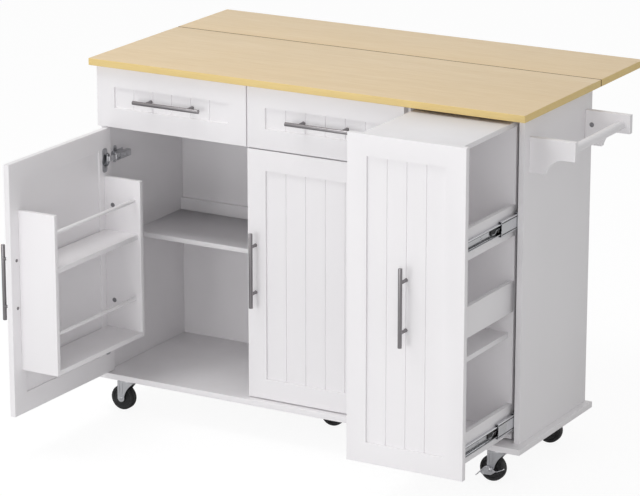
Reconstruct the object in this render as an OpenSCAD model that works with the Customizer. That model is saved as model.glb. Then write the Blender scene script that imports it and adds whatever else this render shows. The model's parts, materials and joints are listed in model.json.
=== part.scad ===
// Kitchen island on casters with a drop leaf, two doors, two drawers and a tall pull-out.
// Millimetres. X runs along the island, -Y is the front, +Z is up and the floor is z = 0.
// Every piece is placed in the cabinet's own frame, whose zero is the left front corner of
// the countertop, and in_frame() then moves it to the part's origin.

/* [Overall] */
// Length of the countertop
top_w = 1200; // [1000:5:1500]
// Depth of the fixed countertop
top_d = 414; // [380:1:520]
// Thickness of the countertop and the leaf
top_t = 18; // [16:1:26]
// Height of the countertop above the floor
total_h = 920; // [880:1:980]
// Depth of the drop leaf
leaf_d = 245; // [180:1:300]
// Gap between the countertop and the leaf
leaf_gap = 2.5; // [2:0.5:5]
// Thickness of the cabinet boards
board_t = 15; // [14:0.5:19]
// Overhang of the countertop past each side panel
side_over = 14.5; // [8:0.5:30]
// Overhang of the countertop past the front faces
front_over = 14.5; // [8:0.5:30]
// Overhang of the countertop past the back edges of the side panels
back_over = 16; // [14:0.5:30]
// Reach of the base board past the countertop's ends
base_over = 1.5; // [0:0.5:4]
// Distance from the back of the base board to the countertop's back edge
base_back = 9; // [4:0.5:14]

/* [Fronts] */
// Thickness of the doors and the drawer fronts
front_t = 15; // [15:0.5:19]
// Gap between neighbouring fronts
seam = 3; // [2:0.5:5]
// Gap between the back of a closed front and the board edges
bump_gap = 1.5; // [1:0.5:3]
// Width of the pull-out's front
pull_w = 305; // [260:1:360]
// Height of the drawer fronts
drawer_h = 154; // [140:1:200]
// Gap above the drawer fronts and the pull-out's front
top_gap = 1; // [0.5:0.5:3]
// Width of the stiles and rails
stile_w = 51; // [40:1:60]
// Depth of the panel behind the outer face
panel_in = 5; // [3:0.5:6]
// Thickness of the beaded panels
panel_t = 6; // [5:0.5:8]
// Depth of the panel's edge in the frame's slot
tongue = 8; // [5:0.5:12]
// Space round the panel in its slot
slot_play = 0.2; // [0.1:0.05:0.5]
// Beads across a door or drawer panel
beads_door = 6; // [3:1:10]
// Beads across the pull-out's panel
beads_pull = 4; // [2:1:8]
// Width of the grooves between beads
bead_gap = 3; // [1:0.5:5]
// Depth of the grooves between beads
bead_deep = 1.5; // [0.5:0.5:3]

/* [Handles] */
// Length of a handle's bar
bar_len = 190; // [150:1:240]
// Radius of a handle's bar
bar_r = 5; // [4:0.5:7]
// Distance between a handle's posts
post_gap = 120; // [96:1:140]
// Radius of the posts
post_r = 4; // [3:0.5:4.5]
// Distance from a front's face to the middle of the bar
bar_out = 24; // [20:1:40]
// Distance from a door's free edge to its handle
handle_in = 22; // [18:1:28]
// Height of the door handles above the floor
door_handle_z = 442; // [300:1:600]
// Height of the pull-out's handle above the floor
pull_handle_z = 510; // [300:1:700]

/* [Concealed hinges] */
// Distance from a door's top or bottom edge to the middle of a hinge
hinge_end = 79; // [70:1:80]
// Radius of a hinge cup
cup_r = 17.4; // [15:0.1:18]
// Depth of a hinge cup
cup_deep = 11; // [10:0.5:12]
// Distance from the door's edge to the middle of the cup
cup_in = 22.5; // [21:0.5:24]
// Radius of the hinge pins
pin_r = 1.5; // [1.2:0.1:2]
// Space round a pin in its link
pin_play = 0.05; // [0.02:0.01:0.1]
// Height of a hinge link
link_h = 13; // [10:0.5:15]

/* [Spice rack] */
// Depth of the spice rack
rack_d = 106; // [80:1:110]
// Distance from the door's hinge edge to the rack
rack_in = 19; // [18:0.5:30]
// Distance from the rack to the door's free edge, clear of the handle's screws
rack_free = 33; // [33:0.5:50]
// Space between the lower hinge's plate and the rack
rack_low = 3; // [2:1:20]
// Space between the rack and the upper hinge's plate
rack_high = 9; // [2:1:60]
// Thickness of the rack's boards
rack_t = 12; // [10:0.5:15]
// Distance from the rack's upper end down to the upper shelf's underside
rack_top_bay = 149; // [115:0.5:220]
// Depth of the upper shelf
rack_mid_d = 98; // [70:1:100]
// Radius of the guard dowels
dowel_r = 5; // [4:0.5:6]
// Distance from the door to the middle of a dowel
dowel_out = 88; // [70:1:95]
// Height of a dowel above its shelf
dowel_up = 86; // [50:1:100]

/* [Shelf] */
// Height of the shelf's upper face above the floor
shelf_z = 446; // [420:1:470]
// Thickness of the shelf and its back rail
shelf_t = 12; // [10:0.5:15]
// Space between the closed spice rack and the shelf
shelf_gap = 5; // [4:0.5:20]
// Height of the shelf's back rail
rail_h = 32; // [20:1:50]
// Space between the shelf's ends and the boards beside it
shelf_play = 0.5; // [0.3:0.1:1]

/* [Drawers] */
// Height of a drawer box
box_h = 100; // [80:1:105]
// Depth of a drawer box and length of its slides
box_d = 300; // [280:1:320]
// Thickness of the drawer boards
box_t = 12; // [10:0.5:14]
// Thickness of the drawer bottoms
bottom_t = 5; // [4:0.5:8]
// Space under a drawer box
box_up = 6; // [4:0.5:12]

/* [Pull-out] */
// Depth of the pull-out behind its front
pull_d = 306; // [280:1:330]
// Thickness of the pull-out's boards
pull_t = 12; // [10:0.5:15]
// How far the pull-out's top lies below the top of its front
pull_sink = 8; // [1:0.5:12]
// Height of the side guards
guard_h = 75; // [50:1:90]
// Height of the bottom tier above the floor
tier_1 = 127.5; // [120:0.5:140]
// Height of the middle tier above the floor
tier_2 = 366; // [320:1:400]
// Height of the middle guards above the floor
guard_2 = 432; // [400:1:460]
// Height of the upper tier above the floor
tier_3 = 618; // [560:1:680]
// Space under the pull-out's back
pull_up = 6; // [4:0.5:12]

/* [Slides] */
// Thickness of a ball slide
slide_t = 12.7; // [12.7:0.1:14]
// Height of a ball slide
slide_h = 45; // [40:0.5:50]
// Length of the pull-out's slides, whose outer and inner members are alike
slide_len = 300; // [270:5:310]
// Length of the middle members of all slides
slide_mid = 240; // [200:5:260]
// Thickness of the slides' steel
slide_s = 1.2; // [1:0.1:1.5]
// Space between slide members
slide_play = 0.5; // [0.4:0.1:0.8]

/* [Towel rail] */
// Reach of a bracket from the side panel
arm_out = 117.5; // [90:0.5:140]
// Height of a bracket at the side panel
arm_h = 85.5; // [70:0.5:110]
// Height of a bracket at its outer end
arm_tip = 46.5; // [40:0.5:60]
// Radius of the hollow under a bracket
arm_hollow = 46; // [36:0.5:56]
// Distance from the countertop's underside down to the brackets' upper edges
arm_drop = 46; // [30:1:70]
// Distance from the front and back panel edges to the brackets
arm_in = 24.5; // [15:0.5:60]
// Radius of the rail
rail_r = 11; // [8:0.5:14]
// Distance from the side panel to the middle of the rail
rail_out = 95; // [70:1:100]
// Distance from the brackets' upper edges down to the middle of the rail
rail_drop = 26; // [20:1:30]
// Depth of the rail's sockets
rail_seat = 6; // [4:0.5:9]

/* [Leaf hinges] */
// Length of a leaf hinge
flap_len = 60; // [40:1:100]
// Radius of a leaf hinge's barrel
flap_r = 4.5; // [4:0.5:5.5]
// Thickness of a leaf hinge's plates
flap_t = 2; // [1.5:0.5:2.5]
// Depth of the plate under the leaf
flap_leaf = 40; // [30:1:60]
// Distance from the leaf's ends to the outer hinges
flap_in = 150; // [100:1:300]

/* [Casters] */
// Height from the floor to the base board
caster_h = 92; // [88:0.5:104]
// Radius of a wheel
wheel_r = 32.5; // [28:0.5:36]
// Width of a wheel's tread
wheel_w = 20; // [16:0.5:22]
// Distance from the swivel axis to the axle
trail = 16; // [12:0.5:22]
// Distance from the base board's ends to a swivel axis
caster_in_x = 75; // [55:1:120]
// Distance from the base board's front and back to a swivel axis
caster_in_y = 48; // [40:1:70]
// Radius of an axle
axle_r = 3; // [2.5:0.5:4]

/* [Pose] */
// Angle of the open left door
door_open = 91; // [60:1:91]
// Distance that the pull-out stands out
pull_ext = 280; // [0:5:280]
// Turn of a hinge link while its door opens fully
link_turn = 44; // [43:0.5:45]

/* [Hidden] */
$fn = 48;
// Columns, from left to right
body_x0 = side_over;
body_x1 = top_w - side_over;
left_in = body_x0 + board_t;
right_in = body_x1 - board_t;
front_w = (body_x1 - body_x0 - pull_w - 2 * seam) / 2;
front_1 = body_x0;
front_2 = front_1 + front_w + seam;
front_3 = front_2 + front_w + seam;
div_x0 = front_3 - seam / 2 - board_t / 2;
div_x1 = div_x0 + board_t;
mid_x0 = (left_in + div_x0 - board_t) / 2;
mid_x1 = mid_x0 + board_t;
// Depths, from front to back
face_y = front_over;
inner_y = face_y + front_t;
body_y0 = inner_y + bump_gap;
body_y1 = top_d - back_over;
back_y = body_y1 - board_t;
base_y0 = -base_over;
base_y1 = top_d - base_back;
leaf_y = top_d + leaf_gap;
// Heights, from the floor up
base_z = caster_h + board_t;
under_top = total_h - top_t;
front_z1 = under_top - top_gap;
front_z0 = base_z + seam;
drawer_z = front_z1 - drawer_h;
door_z1 = drawer_z - seam;
deck_z = drawer_z + board_t;
drawer_handle_z = drawer_z + drawer_h / 2;
hinge_z = [front_z0 + hinge_end, door_z1 - hinge_end];
// Hinge pivots, from the hinge edge of the door and its inner face
pivot_door = [11.5, -3];
pivot_arm = [36.5, 10.5];
link_path = [pivot_door, [17.5, -6], [22.5, -1.5], [26, 2.5], pivot_arm];
link_t = 2;
eye_r = 3;
cup_wall = 1.2;
wing_t = 1.2;
wing_h = 62;
wing_x = [15.5, 38.5];
screw_in_x = 28;
screw_in_z = 24;
ear_t = 1.5;
ear_play = 0.5;
ear_r = 4;
web_y = 16;
arm_x0 = 30;
arm_y1 = 70;
block_y = [30, 60];
plate_t = 2.5;
plate_y0 = 20;
plate_wing_y = [28, 42];
plate_wing_z = 22;
plate_screw_y = 35;
plate_screw_z = 16;
cup_pin = 12.6;
// Fasteners, and the room that their holes leave beside and beyond them
screw_r = 1.6;
screw_len = 10;
screw_head = 1.2;
screw_play = 0.1;
hole_play = 0.1;
hole_end = 0.2;
bolt_r = 2;
bolt_play = 0.3;
head_r = 4;
head_t = 1.8;
cam_r = 6;
cam_deep = 9;
cam_in = 24;
peg_r = 2.5;
// Spice rack
rack_x0 = front_1 + rack_in;
rack_x1 = front_1 + front_w - rack_free;
rack_z0 = hinge_z[0] + wing_h / 2 + rack_low;
rack_h = hinge_z[1] - wing_h / 2 - rack_high - rack_z0;
rack_mid = rack_h - rack_top_bay;
rack_cam_low = 83.5;
rack_cam_high = 71;
rack_z = [rack_z0 + rack_cam_low, rack_z0 + rack_h - rack_cam_high];
rack_bays = [rack_z0 + rack_t, rack_z0 + rack_mid + rack_t];
dowel_seat = 6;
// Shelf
shelf_y0 = inner_y + rack_d + shelf_gap;
peg_front = 30;
peg_back = 60;
peg_y = [shelf_y0 + peg_front, back_y - peg_back];
peg_z = shelf_z - shelf_t - peg_r;
peg_deep = 8;
peg_out = 9;
// Left door's pose: the first pivot's place and its turn
first_arm = [body_x0 + pivot_arm[0], inner_y + pivot_arm[1]];
first_shut = [body_x0 + pivot_door[0], inner_y + pivot_door[1]];
open_part = door_open / 91;
link_now = link_turn * open_part;
first_open = first_arm + turned(first_shut - first_arm, link_now);
handle_x = front_1 + front_w - handle_in;
open_handle = first_open + turned([handle_x, face_y - bar_out] - first_shut, -door_open);
open_corner = first_open + turned([front_1 + front_w, inner_y] - first_shut, -door_open);
// Origin: middle of the footprint, on the floor
low_x = min(open_handle[0] - bar_r, -base_over);
high_x = body_x1 + arm_out;
low_y = min(open_corner[1], face_y - pull_ext - bar_out - bar_r);
high_y = leaf_y + leaf_d;
org_x = (low_x + high_x) / 2;
org_y = (low_y + high_y) / 2;
// Drawer boxes
bay_w = mid_x0 - left_in;
drawer_x = [left_in + slide_t, mid_x1 + slide_t];
box_w = bay_w - 2 * slide_t;
box_z = deck_z + box_up;
slide_y = body_y0 + 1;
slide_z_drawer = box_z + box_h / 2;
bottom_up = 6;
// Ball slides: half height, lips, and where the inner member and the latch lie along them
race_h = slide_h / 2;
lip_t = 2.8;
race_t = 5;
lip_gap = 2;
inner_late = 0.5;
latch_len = 40;
latch_y = 162;
latch_h = 11;
latch_t = 7;
// Pull-out
pull_x0 = div_x1 + slide_t;
pull_x1 = right_in - slide_t;
pull_y = inner_y - pull_ext;
pull_back = pull_y + pull_d - pull_t;
pull_top = front_z1 - pull_sink;
slide_drop = 4.5;
slide_z_pull = [tier_1 + guard_h / 2 - slide_drop, tier_3 + guard_h / 2];
// Casters, each with its swivel axis
caster_x = [caster_in_x - base_over, top_w + base_over - caster_in_x];
caster_y = [base_y0 + caster_in_y, base_y1 - caster_in_y];
caster_mid = [top_w / 2, (base_y0 + base_y1) / 2];
casters = [
    [caster_x[0], caster_y[0]],
    [caster_x[1], caster_y[0]],
    [caster_x[0], caster_y[1]],
    [caster_x[1], caster_y[1]],
    caster_mid
];
mount_t = 2.5;
mount_w = 60;
mount_hole = 23;
mount_screw = 12;
fork_t = 2;
leg_y = wheel_w / 2 + 3.5;
fork_z = 76;
fork_r = 10;
fork_x1 = 24;
belly_x = 8;
belly_drop = 6;
waist_up = 3;
race_r = 21;
race_h_top = 5;
race_gap = 0.5;
king_r = 5;
king_play = 0.05;
king_nut = 3;
rivet_r = axle_r + 2;
rivet_t = 2;
hub_r = 9;
hub_w = 25;
web_w = 16;
tread_in = 8;
tread_edge = 2;
// Brake rocker: its cheek, and the tread bent along its upper edge
rocker_t = 2;
rocker_gap = 0.5;
rocker_y = leg_y + fork_t + rocker_gap;
rocker_w = 10;
plain_front = leg_y + fork_t + rivet_t;
rocker_front = rocker_y + rocker_t + rocker_gap + rivet_t;
rocker_edge = [[-35, -18], [-8, 10.5], [19, -1.5], [37, 7]];
rocker_cheek = [[-28, -10.5], [-8, 10.5], [19, -1.5], [2, -14], [-21, -16]];
// Towel rail: the outer foot of a bracket, and its cam's place from the side panel
arm_top = under_top - arm_drop;
rail_z = arm_top - rail_drop;
foot_w = 28;
arm_cam_x = 18;
arm_cam_drop = 9;
arm_cam_z = rail_z - arm_cam_drop;
bracket_y = [body_y0 + arm_in, body_y1 - arm_in - board_t];
// Leaf hinges
flap_x = [flap_in, top_w / 2, top_w - flap_in];
flap_y = top_d + leaf_gap / 2;
flap_z = under_top - flap_r;
flap_pin = 2;
flap_play = 0.05;
flap_end = 0.4;
flap_front = 1.5;
flap_y0 = body_y1 + flap_front;
flap_head = 3;
flap_in_fixed = 5;
flap_in_leaf = 12;
flap_screw_fixed = flap_y0 + flap_in_fixed;
flap_screw_leaf = flap_y + flap_leaf - flap_in_leaf;

white = [0.9, 0.9, 0.89];
inside_white = [0.82, 0.82, 0.82];
oak = [0.87, 0.76, 0.6];
steel = [0.72, 0.73, 0.75];
dark_steel = [0.2, 0.2, 0.21];
black = [0.06, 0.06, 0.07];

// A point turned about zero by an angle in degrees.
function turned(p, a) = [p[0] * cos(a) - p[1] * sin(a), p[0] * sin(a) + p[1] * cos(a)];

function left_of(a, b) = [a[1] - b[1], b[0] - a[0]] / norm(b - a);

// Offset, by one, of the strip's left edge from the path's point i, mitred at a bend.
function edge_step(path, i) =
    i == 0 ? left_of(path[0], path[1]) :
    i == len(path) - 1 ? left_of(path[i - 1], path[i]) :
    let (
        before = left_of(path[i - 1], path[i]),
        after = left_of(path[i], path[i + 1]),
        mid = (before + after) / norm(before + after)
    )
    mid / (mid * before);

// Outline of a bent strip of thickness t whose middle follows the path.
function strip_outline(path, t) =
    let (last = len(path) - 1)
    concat(
        [for (i = [0 : last]) path[i] + edge_step(path, i) * t / 2],
        [for (i = [last : -1 : 0]) path[i] - edge_step(path, i) * t / 2]
    );

// Moves the cabinet's frame to the part's origin.
module in_frame() {
    translate([-org_x, -org_y, 0])
        children();
}

// A box between two corners.
module block(a, b) {
    translate(a)
        cube(b - a);
}

// A cylinder along Y from y0 to y1.
module rod_y(x, z, y0, y1, r) {
    translate([x, y0, z])
        rotate([-90, 0, 0])
            cylinder(h = y1 - y0, r = r);
}

// A cylinder along X from x0 to x1.
module rod_x(y, z, x0, x1, r) {
    translate([x0, y, z])
        rotate([0, 90, 0])
            cylinder(h = x1 - x0, r = r);
}

// A cylinder along Z from z0 to z1.
module rod_z(x, y, z0, z1, r) {
    translate([x, y, z0])
        cylinder(h = z1 - z0, r = r);
}

// ---- Fronts: a frame with a slot, and a beaded panel in it ----

module front_frame(x, z, w, h) {
    edge = stile_w - tongue - slot_play;
    difference() {
        block([x, face_y, z], [x + w, inner_y, z + h]);
        block([x + stile_w, face_y - 1, z + stile_w], [x + w - stile_w, inner_y + 1, z + h - stile_w]);
        block([x + edge, face_y + panel_in - slot_play, z + edge],
            [x + w - edge, face_y + panel_in + panel_t + slot_play, z + h - edge]);
    }
}

module front_panel(x, z, w, h, beads) {
    open_w = w - 2 * stile_w;
    difference() {
        block([x + stile_w - tongue, face_y + panel_in, z + stile_w - tongue],
            [x + w - stile_w + tongue, face_y + panel_in + panel_t, z + h - stile_w + tongue]);
        for (i = [1 : beads - 1]) {
            mid = x + stile_w + open_w * i / beads;
            block([mid - bead_gap / 2, face_y + panel_in - 1, z + stile_w - tongue - 1],
                [mid + bead_gap / 2, face_y + panel_in + bead_deep, z + h - stile_w + tongue + 1]);
        }
    }
}

// A drawer front, routed out of one board.
module routed_front(x, z, w, h, beads) {
    open_w = w - 2 * stile_w;
    difference() {
        block([x, face_y, z], [x + w, inner_y, z + h]);
        block([x + stile_w, face_y - 1, z + stile_w], [x + w - stile_w, face_y + panel_in, z + h - stile_w]);
        for (i = [1 : beads - 1]) {
            mid = x + stile_w + open_w * i / beads;
            block([mid - bead_gap / 2, face_y, z + stile_w],
                [mid + bead_gap / 2, face_y + panel_in + bead_deep, z + h - stile_w]);
        }
    }
}

// ---- Handles: upright = 1 stands the bar up, 0 lays it along X ----
// The posts stand on the surface at seat_y and the screws' heads lie on the one at nut_y.

module handle(x, z, upright, seat_y, nut_y) {
    step = upright == 1 ? [0, post_gap / 2] : [post_gap / 2, 0];
    bar_y = face_y - bar_out;
    color(steel) {
        if (upright == 1) {
            translate([x, bar_y, z - bar_len / 2])
                cylinder(h = bar_len, r = bar_r);
        } else {
            rod_x(bar_y, z, x - bar_len / 2, x + bar_len / 2, bar_r);
        }
        for (s = [-1, 1]) {
            rod_y(x + s * step[0], z + s * step[1], bar_y, seat_y, post_r);
            rod_y(x + s * step[0], z + s * step[1], seat_y - 1, nut_y + 0.5, bolt_r);
            rod_y(x + s * step[0], z + s * step[1], nut_y, nut_y + head_t, head_r);
        }
    }
}

module handle_holes(x, z, upright) {
    step = upright == 1 ? [0, post_gap / 2] : [post_gap / 2, 0];
    for (s = [-1, 1]) {
        rod_y(x + s * step[0], z + s * step[1], face_y - 1, inner_y + 1, bolt_r + bolt_play);
    }
}

// ---- Concealed hinges, from the door's hinge edge and inner face, wall at wall_x ----

module cup_shell() {
    difference() {
        rod_y(cup_in, 0, -cup_deep, 0, cup_r);
        rod_y(cup_in, 0, -cup_deep + 1, 1, cup_r - cup_wall);
    }
}

module cup_wings() {
    difference() {
        block([wing_x[0], 0, -wing_h / 2], [wing_x[1], wing_t, wing_h / 2]);
        rod_y(cup_in, 0, -1, wing_t + 1, cup_r - cup_wall);
        block([wing_x[0] - 1, -1, -cup_r], [cup_in, wing_t + 1, cup_r]);
    }
    for (s = [-1, 1]) {
        rod_y(screw_in_x, s * screw_in_z, -screw_len, wing_t, screw_r);
        rod_y(screw_in_x, s * screw_in_z, wing_t, wing_t + screw_head, head_r);
    }
}

module hinge_cup() {
    cup_shell();
    cup_wings();
    rod_z(pivot_door[0], pivot_door[1], -cup_pin, cup_pin, pin_r);
}

module cup_cuts() {
    rod_y(cup_in, 0, -cup_deep, 1, cup_r);
    for (s = [-1, 1]) {
        rod_y(screw_in_x, s * screw_in_z, -screw_len - hole_end, 1, screw_r + screw_play);
    }
}

// The gooseneck link; side is 1 on a door hinged on its left and -1 on its right.
module hinge_link(side) {
    path = [for (p = link_path) [side * p[0], p[1]]];
    eyes = [path[0], path[len(path) - 1]];
    difference() {
        union() {
            translate([0, 0, -link_h / 2])
                linear_extrude(height = link_h)
                    polygon(strip_outline(path, link_t));
            for (p = eyes) {
                rod_z(p[0], p[1], -link_h / 2, link_h / 2, eye_r);
            }
        }
        for (p = eyes) {
            rod_z(p[0], p[1], -link_h, link_h, pin_r + pin_play);
        }
    }
}

module hinge_arm(wall_x) {
    ear_z = link_h / 2 + ear_play;
    high = ear_z + ear_t;
    web_x = pivot_arm[0] + ear_r;
    for (s = [0, 1]) {
        mirror([0, 0, s]) {
            block([arm_x0, web_y, ear_z], [web_x + ear_t, arm_y1, high]);
            block([pivot_arm[0] - ear_r, pivot_arm[1], ear_z], [web_x, web_y + 1, high]);
            rod_z(pivot_arm[0], pivot_arm[1], ear_z, high, ear_r);
        }
    }
    block([web_x, web_y, -high], [web_x + ear_t, arm_y1, high]);
    rod_z(pivot_arm[0], pivot_arm[1], -high, high, pin_r);
    block([wall_x, plate_y0, -high], [wall_x + plate_t, arm_y1, high]);
    block([wall_x, plate_wing_y[0], -plate_wing_z], [wall_x + plate_t, plate_wing_y[1], plate_wing_z]);
    block([wall_x, block_y[0], -ear_z], [web_x, block_y[1], ear_z]);
    for (s = [-1, 1]) {
        rod_x(plate_screw_y, s * plate_screw_z, wall_x - screw_len, wall_x + plate_t, screw_r);
        rod_x(plate_screw_y, s * plate_screw_z, wall_x + plate_t, wall_x + plate_t + screw_head, head_r);
    }
}

module arm_screw_holes(wall_x) {
    for (s = [-1, 1]) {
        rod_x(plate_screw_y, s * plate_screw_z, wall_x - screw_len - hole_end, wall_x + 1,
            screw_r + screw_play);
    }
}

// Places hinges on the left door, which has its hinge edge on the left.
module at_left_hinges() {
    for (z = hinge_z) {
        translate([front_1, inner_y, z])
            children();
    }
}

// Places hinges on the middle door, which has its hinge edge on the right.
module at_middle_hinges() {
    for (z = hinge_z) {
        translate([front_2 + front_w, inner_y, z])
            mirror([1, 0, 0])
                children();
    }
}

// Swings what belongs to the left door out to its pose.
module left_door_pose() {
    translate([first_open[0], first_open[1], 0])
        rotate([0, 0, -door_open])
            translate([-first_shut[0], -first_shut[1], 0])
                children();
}

// Turns the left door's links to their pose.
module left_link_pose() {
    translate([first_arm[0], first_arm[1], 0])
        rotate([0, 0, link_now])
            translate([-first_arm[0], -first_arm[1], 0])
                children();
}

// ---- Ball slides: wall at x = 0, drawer at x = slide_t, length along Y ----

module slide_outer(y, long) {
    block([0, y, -race_h], [slide_s, y + long, race_h]);
    for (s = [0, 1]) {
        mirror([0, 0, s])
            block([0, y, race_h - lip_t], [slide_t - slide_s - lip_gap, y + long, race_h]);
    }
}

// The middle member's back end lies at y1.
module slide_middle(y1) {
    y = y1 - slide_mid;
    web_x = slide_s + slide_play;
    high = race_h - lip_t - slide_play;
    block([web_x, y, -high], [web_x + slide_s, y1, high]);
    for (s = [0, 1]) {
        mirror([0, 0, s])
            block([web_x, y, high - race_t], [slide_t - slide_s - slide_play, y1, high]);
    }
}

module slide_inner(y, long) {
    high = race_h - lip_t - race_t - 2 * slide_play;
    lip_x = 2 * (slide_s + slide_play) + slide_play;
    block([slide_t - slide_s, y, -high], [slide_t, y + long, high]);
    for (s = [0, 1]) {
        mirror([0, 0, s])
            block([lip_x, y, high - lip_t], [slide_t, y + long, high]);
    }
}

// The release lever in the inner member, a frame round a finger gap.
module slide_latch(y) {
    edge = latch_h / 4;
    x1 = slide_t - slide_s;
    difference() {
        block([x1 - latch_t, y, -latch_h / 2], [x1, y + latch_len, latch_h / 2]);
        block([x1 - latch_t - 1, y + 2 * edge, -edge], [x1 - latch_t / 2, y + latch_len - 4 * edge, edge]);
    }
}

// Both sides of a bay between x0 and x1.
module bay_sides(x0, x1, z) {
    translate([x0, 0, z])
        children();
    translate([x1, 0, z])
        mirror([1, 0, 0])
            children();
}

// ---- Fixed cabinet ----

module countertop() {
    color(oak) in_frame() difference() {
        block([0, 0, under_top], [top_w, top_d, total_h]);
        flap_screws(flap_screw_fixed, under_top - 1, screw_len + hole_end + 1, screw_r + screw_play);
    }
}

module side_left() {
    color(white) in_frame() difference() {
        block([body_x0, body_y0, base_z], [left_in, body_y1, under_top]);
        at_left_hinges() arm_screw_holes(board_t);
        for (y = peg_y) {
            rod_x(y, peg_z, left_in - peg_deep - hole_end, left_in + 1, peg_r + hole_play);
        }
    }
}

module side_right() {
    color(white) in_frame() difference() {
        block([right_in, body_y0, base_z], [body_x1, body_y1, under_top]);
        for (y = bracket_y) {
            rod_x(y + board_t / 2, arm_cam_z, body_x1 - screw_len - hole_end, body_x1 + 1, peg_r + hole_play);
        }
    }
}

module divider() {
    color(white) in_frame() difference() {
        block([div_x0, body_y0, base_z], [div_x1, back_y, under_top]);
        at_middle_hinges() arm_screw_holes(front_2 + front_w - div_x0);
        for (y = peg_y) {
            rod_x(y, peg_z, div_x0 - 1, div_x0 + peg_deep + hole_end, peg_r + hole_play);
        }
    }
}

module drawer_deck() {
    color(white) in_frame() {
        block([left_in, body_y0, drawer_z], [div_x0, back_y, deck_z]);
        block([mid_x0, body_y0, deck_z], [mid_x1, back_y, under_top]);
    }
}

module back_panel() {
    color(white) in_frame()
        block([left_in, back_y, base_z], [right_in, body_y1, under_top]);
}

module base_board() {
    color(white) in_frame() difference() {
        block([-base_over, base_y0, caster_h], [top_w + base_over, base_y1, base_z]);
        for (c = casters) {
            plate_screws(c, caster_h - mount_t, screw_r + screw_play, mount_screw + hole_end);
        }
    }
}

module shelf() {
    color(white) in_frame() {
        block([left_in + shelf_play, shelf_y0, shelf_z - shelf_t], [div_x0 - shelf_play, back_y, shelf_z]);
        block([left_in + shelf_play, back_y - shelf_t, shelf_z],
            [div_x0 - shelf_play, back_y, shelf_z + rail_h]);
    }
}

// Shelf pegs, and the cams and bolts that hold the towel brackets.
module fasteners() {
    color(dark_steel) in_frame() {
        for (y = peg_y) {
            rod_x(y, peg_z, left_in - peg_deep, left_in + peg_out, peg_r);
            rod_x(y, peg_z, div_x0 - peg_out, div_x0 + peg_deep, peg_r);
        }
        towel_cam(bracket_y[0] + board_t, -1);
        towel_cam(bracket_y[1], 1);
    }
}

// A cam let into a bracket's inner face at y, and its bolt into the side panel.
module towel_cam(y, way) {
    low = way == 1 ? y : y - cam_deep;
    rod_y(body_x1 + arm_cam_x, arm_cam_z, low, low + cam_deep, cam_r);
    rod_x(y + way * board_t / 2, arm_cam_z, body_x1 - screw_len, body_x1 + arm_cam_x, peg_r);
}

module hinge_arms() {
    color(steel) in_frame() {
        at_left_hinges() hinge_arm(board_t);
        at_middle_hinges() hinge_arm(front_2 + front_w - div_x0);
    }
}

// The drawers' outer members.
module slide_outers() {
    color(steel) in_frame() for (x = [left_in, mid_x1]) {
        bay_sides(x, x + bay_w, slide_z_drawer)
            slide_outer(slide_y, box_d);
    }
}

module pull_slide_outers() {
    color(steel) in_frame() for (z = slide_z_pull) {
        bay_sides(div_x1, right_in, z)
            slide_outer(slide_y, slide_len);
    }
}

// ---- Leaf hinges: outer knuckles on the fixed plate, the middle one on the leaf's ----

// A cylinder at each leaf hinge screw in the row at y.
module flap_screws(y, z, h, r) {
    for (x = flap_x) {
        for (s = [-1, 1]) {
            rod_z(x + s * flap_len / 3, y, z, z + h, r);
        }
    }
}

module leaf_hinge_fixed() {
    third = flap_len / 3;
    color(steel) in_frame() {
        for (x = flap_x) {
            block([x - flap_len / 2, flap_y0, under_top - flap_t],
                [x + flap_len / 2, flap_y - flap_r - 1, under_top]);
            for (x0 = [x - flap_len / 2, x + flap_len / 2 - third]) {
                block([x0, flap_y0, under_top - flap_t], [x0 + third, flap_y, under_top]);
                rod_x(flap_y, flap_z, x0, x0 + third, flap_r);
            }
            rod_x(flap_y, flap_z, x - flap_len / 2, x + flap_len / 2, flap_pin);
        }
        flap_screws(flap_screw_fixed, under_top - flap_t, flap_t + screw_len, screw_r);
        flap_screws(flap_screw_fixed, under_top - flap_t - screw_head, screw_head, flap_head);
    }
}

module leaf_hinge_moving() {
    third = flap_len / 3 - flap_end;
    color(steel) in_frame() {
        for (x = flap_x) {
            difference() {
                union() {
                    block([x - third / 2, flap_y, under_top - flap_t],
                        [x + third / 2, flap_y + flap_r + 2, under_top]);
                    block([x - flap_len / 2, flap_y + flap_r + 1, under_top - flap_t],
                        [x + flap_len / 2, flap_y + flap_leaf, under_top]);
                    rod_x(flap_y, flap_z, x - third / 2, x + third / 2, flap_r);
                }
                rod_x(flap_y, flap_z, x - flap_len, x + flap_len, flap_pin + flap_play);
            }
        }
        flap_screws(flap_screw_leaf, under_top - flap_t, flap_t + screw_len, screw_r);
        flap_screws(flap_screw_leaf, under_top - flap_t - screw_head, screw_head, flap_head);
    }
}

module drop_leaf() {
    color(oak) in_frame() difference() {
        block([0, leaf_y, under_top], [top_w, leaf_y + leaf_d, total_h]);
        flap_screws(flap_screw_leaf, under_top - 1, screw_len + hole_end + 1, screw_r + screw_play);
    }
}

// ---- Towel rail ----

module bracket_shape() {
    flat = arm_top - arm_tip;
    low = arm_top - arm_h;
    hollow_x = arm_out - foot_w;
    difference() {
        translate([0, low])
            square([arm_out, arm_h]);
        translate([hollow_x, flat - arm_hollow])
            circle(r = arm_hollow);
        translate([hollow_x, low - 1])
            square([arm_out, flat - low + 1]);
    }
}

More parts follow.
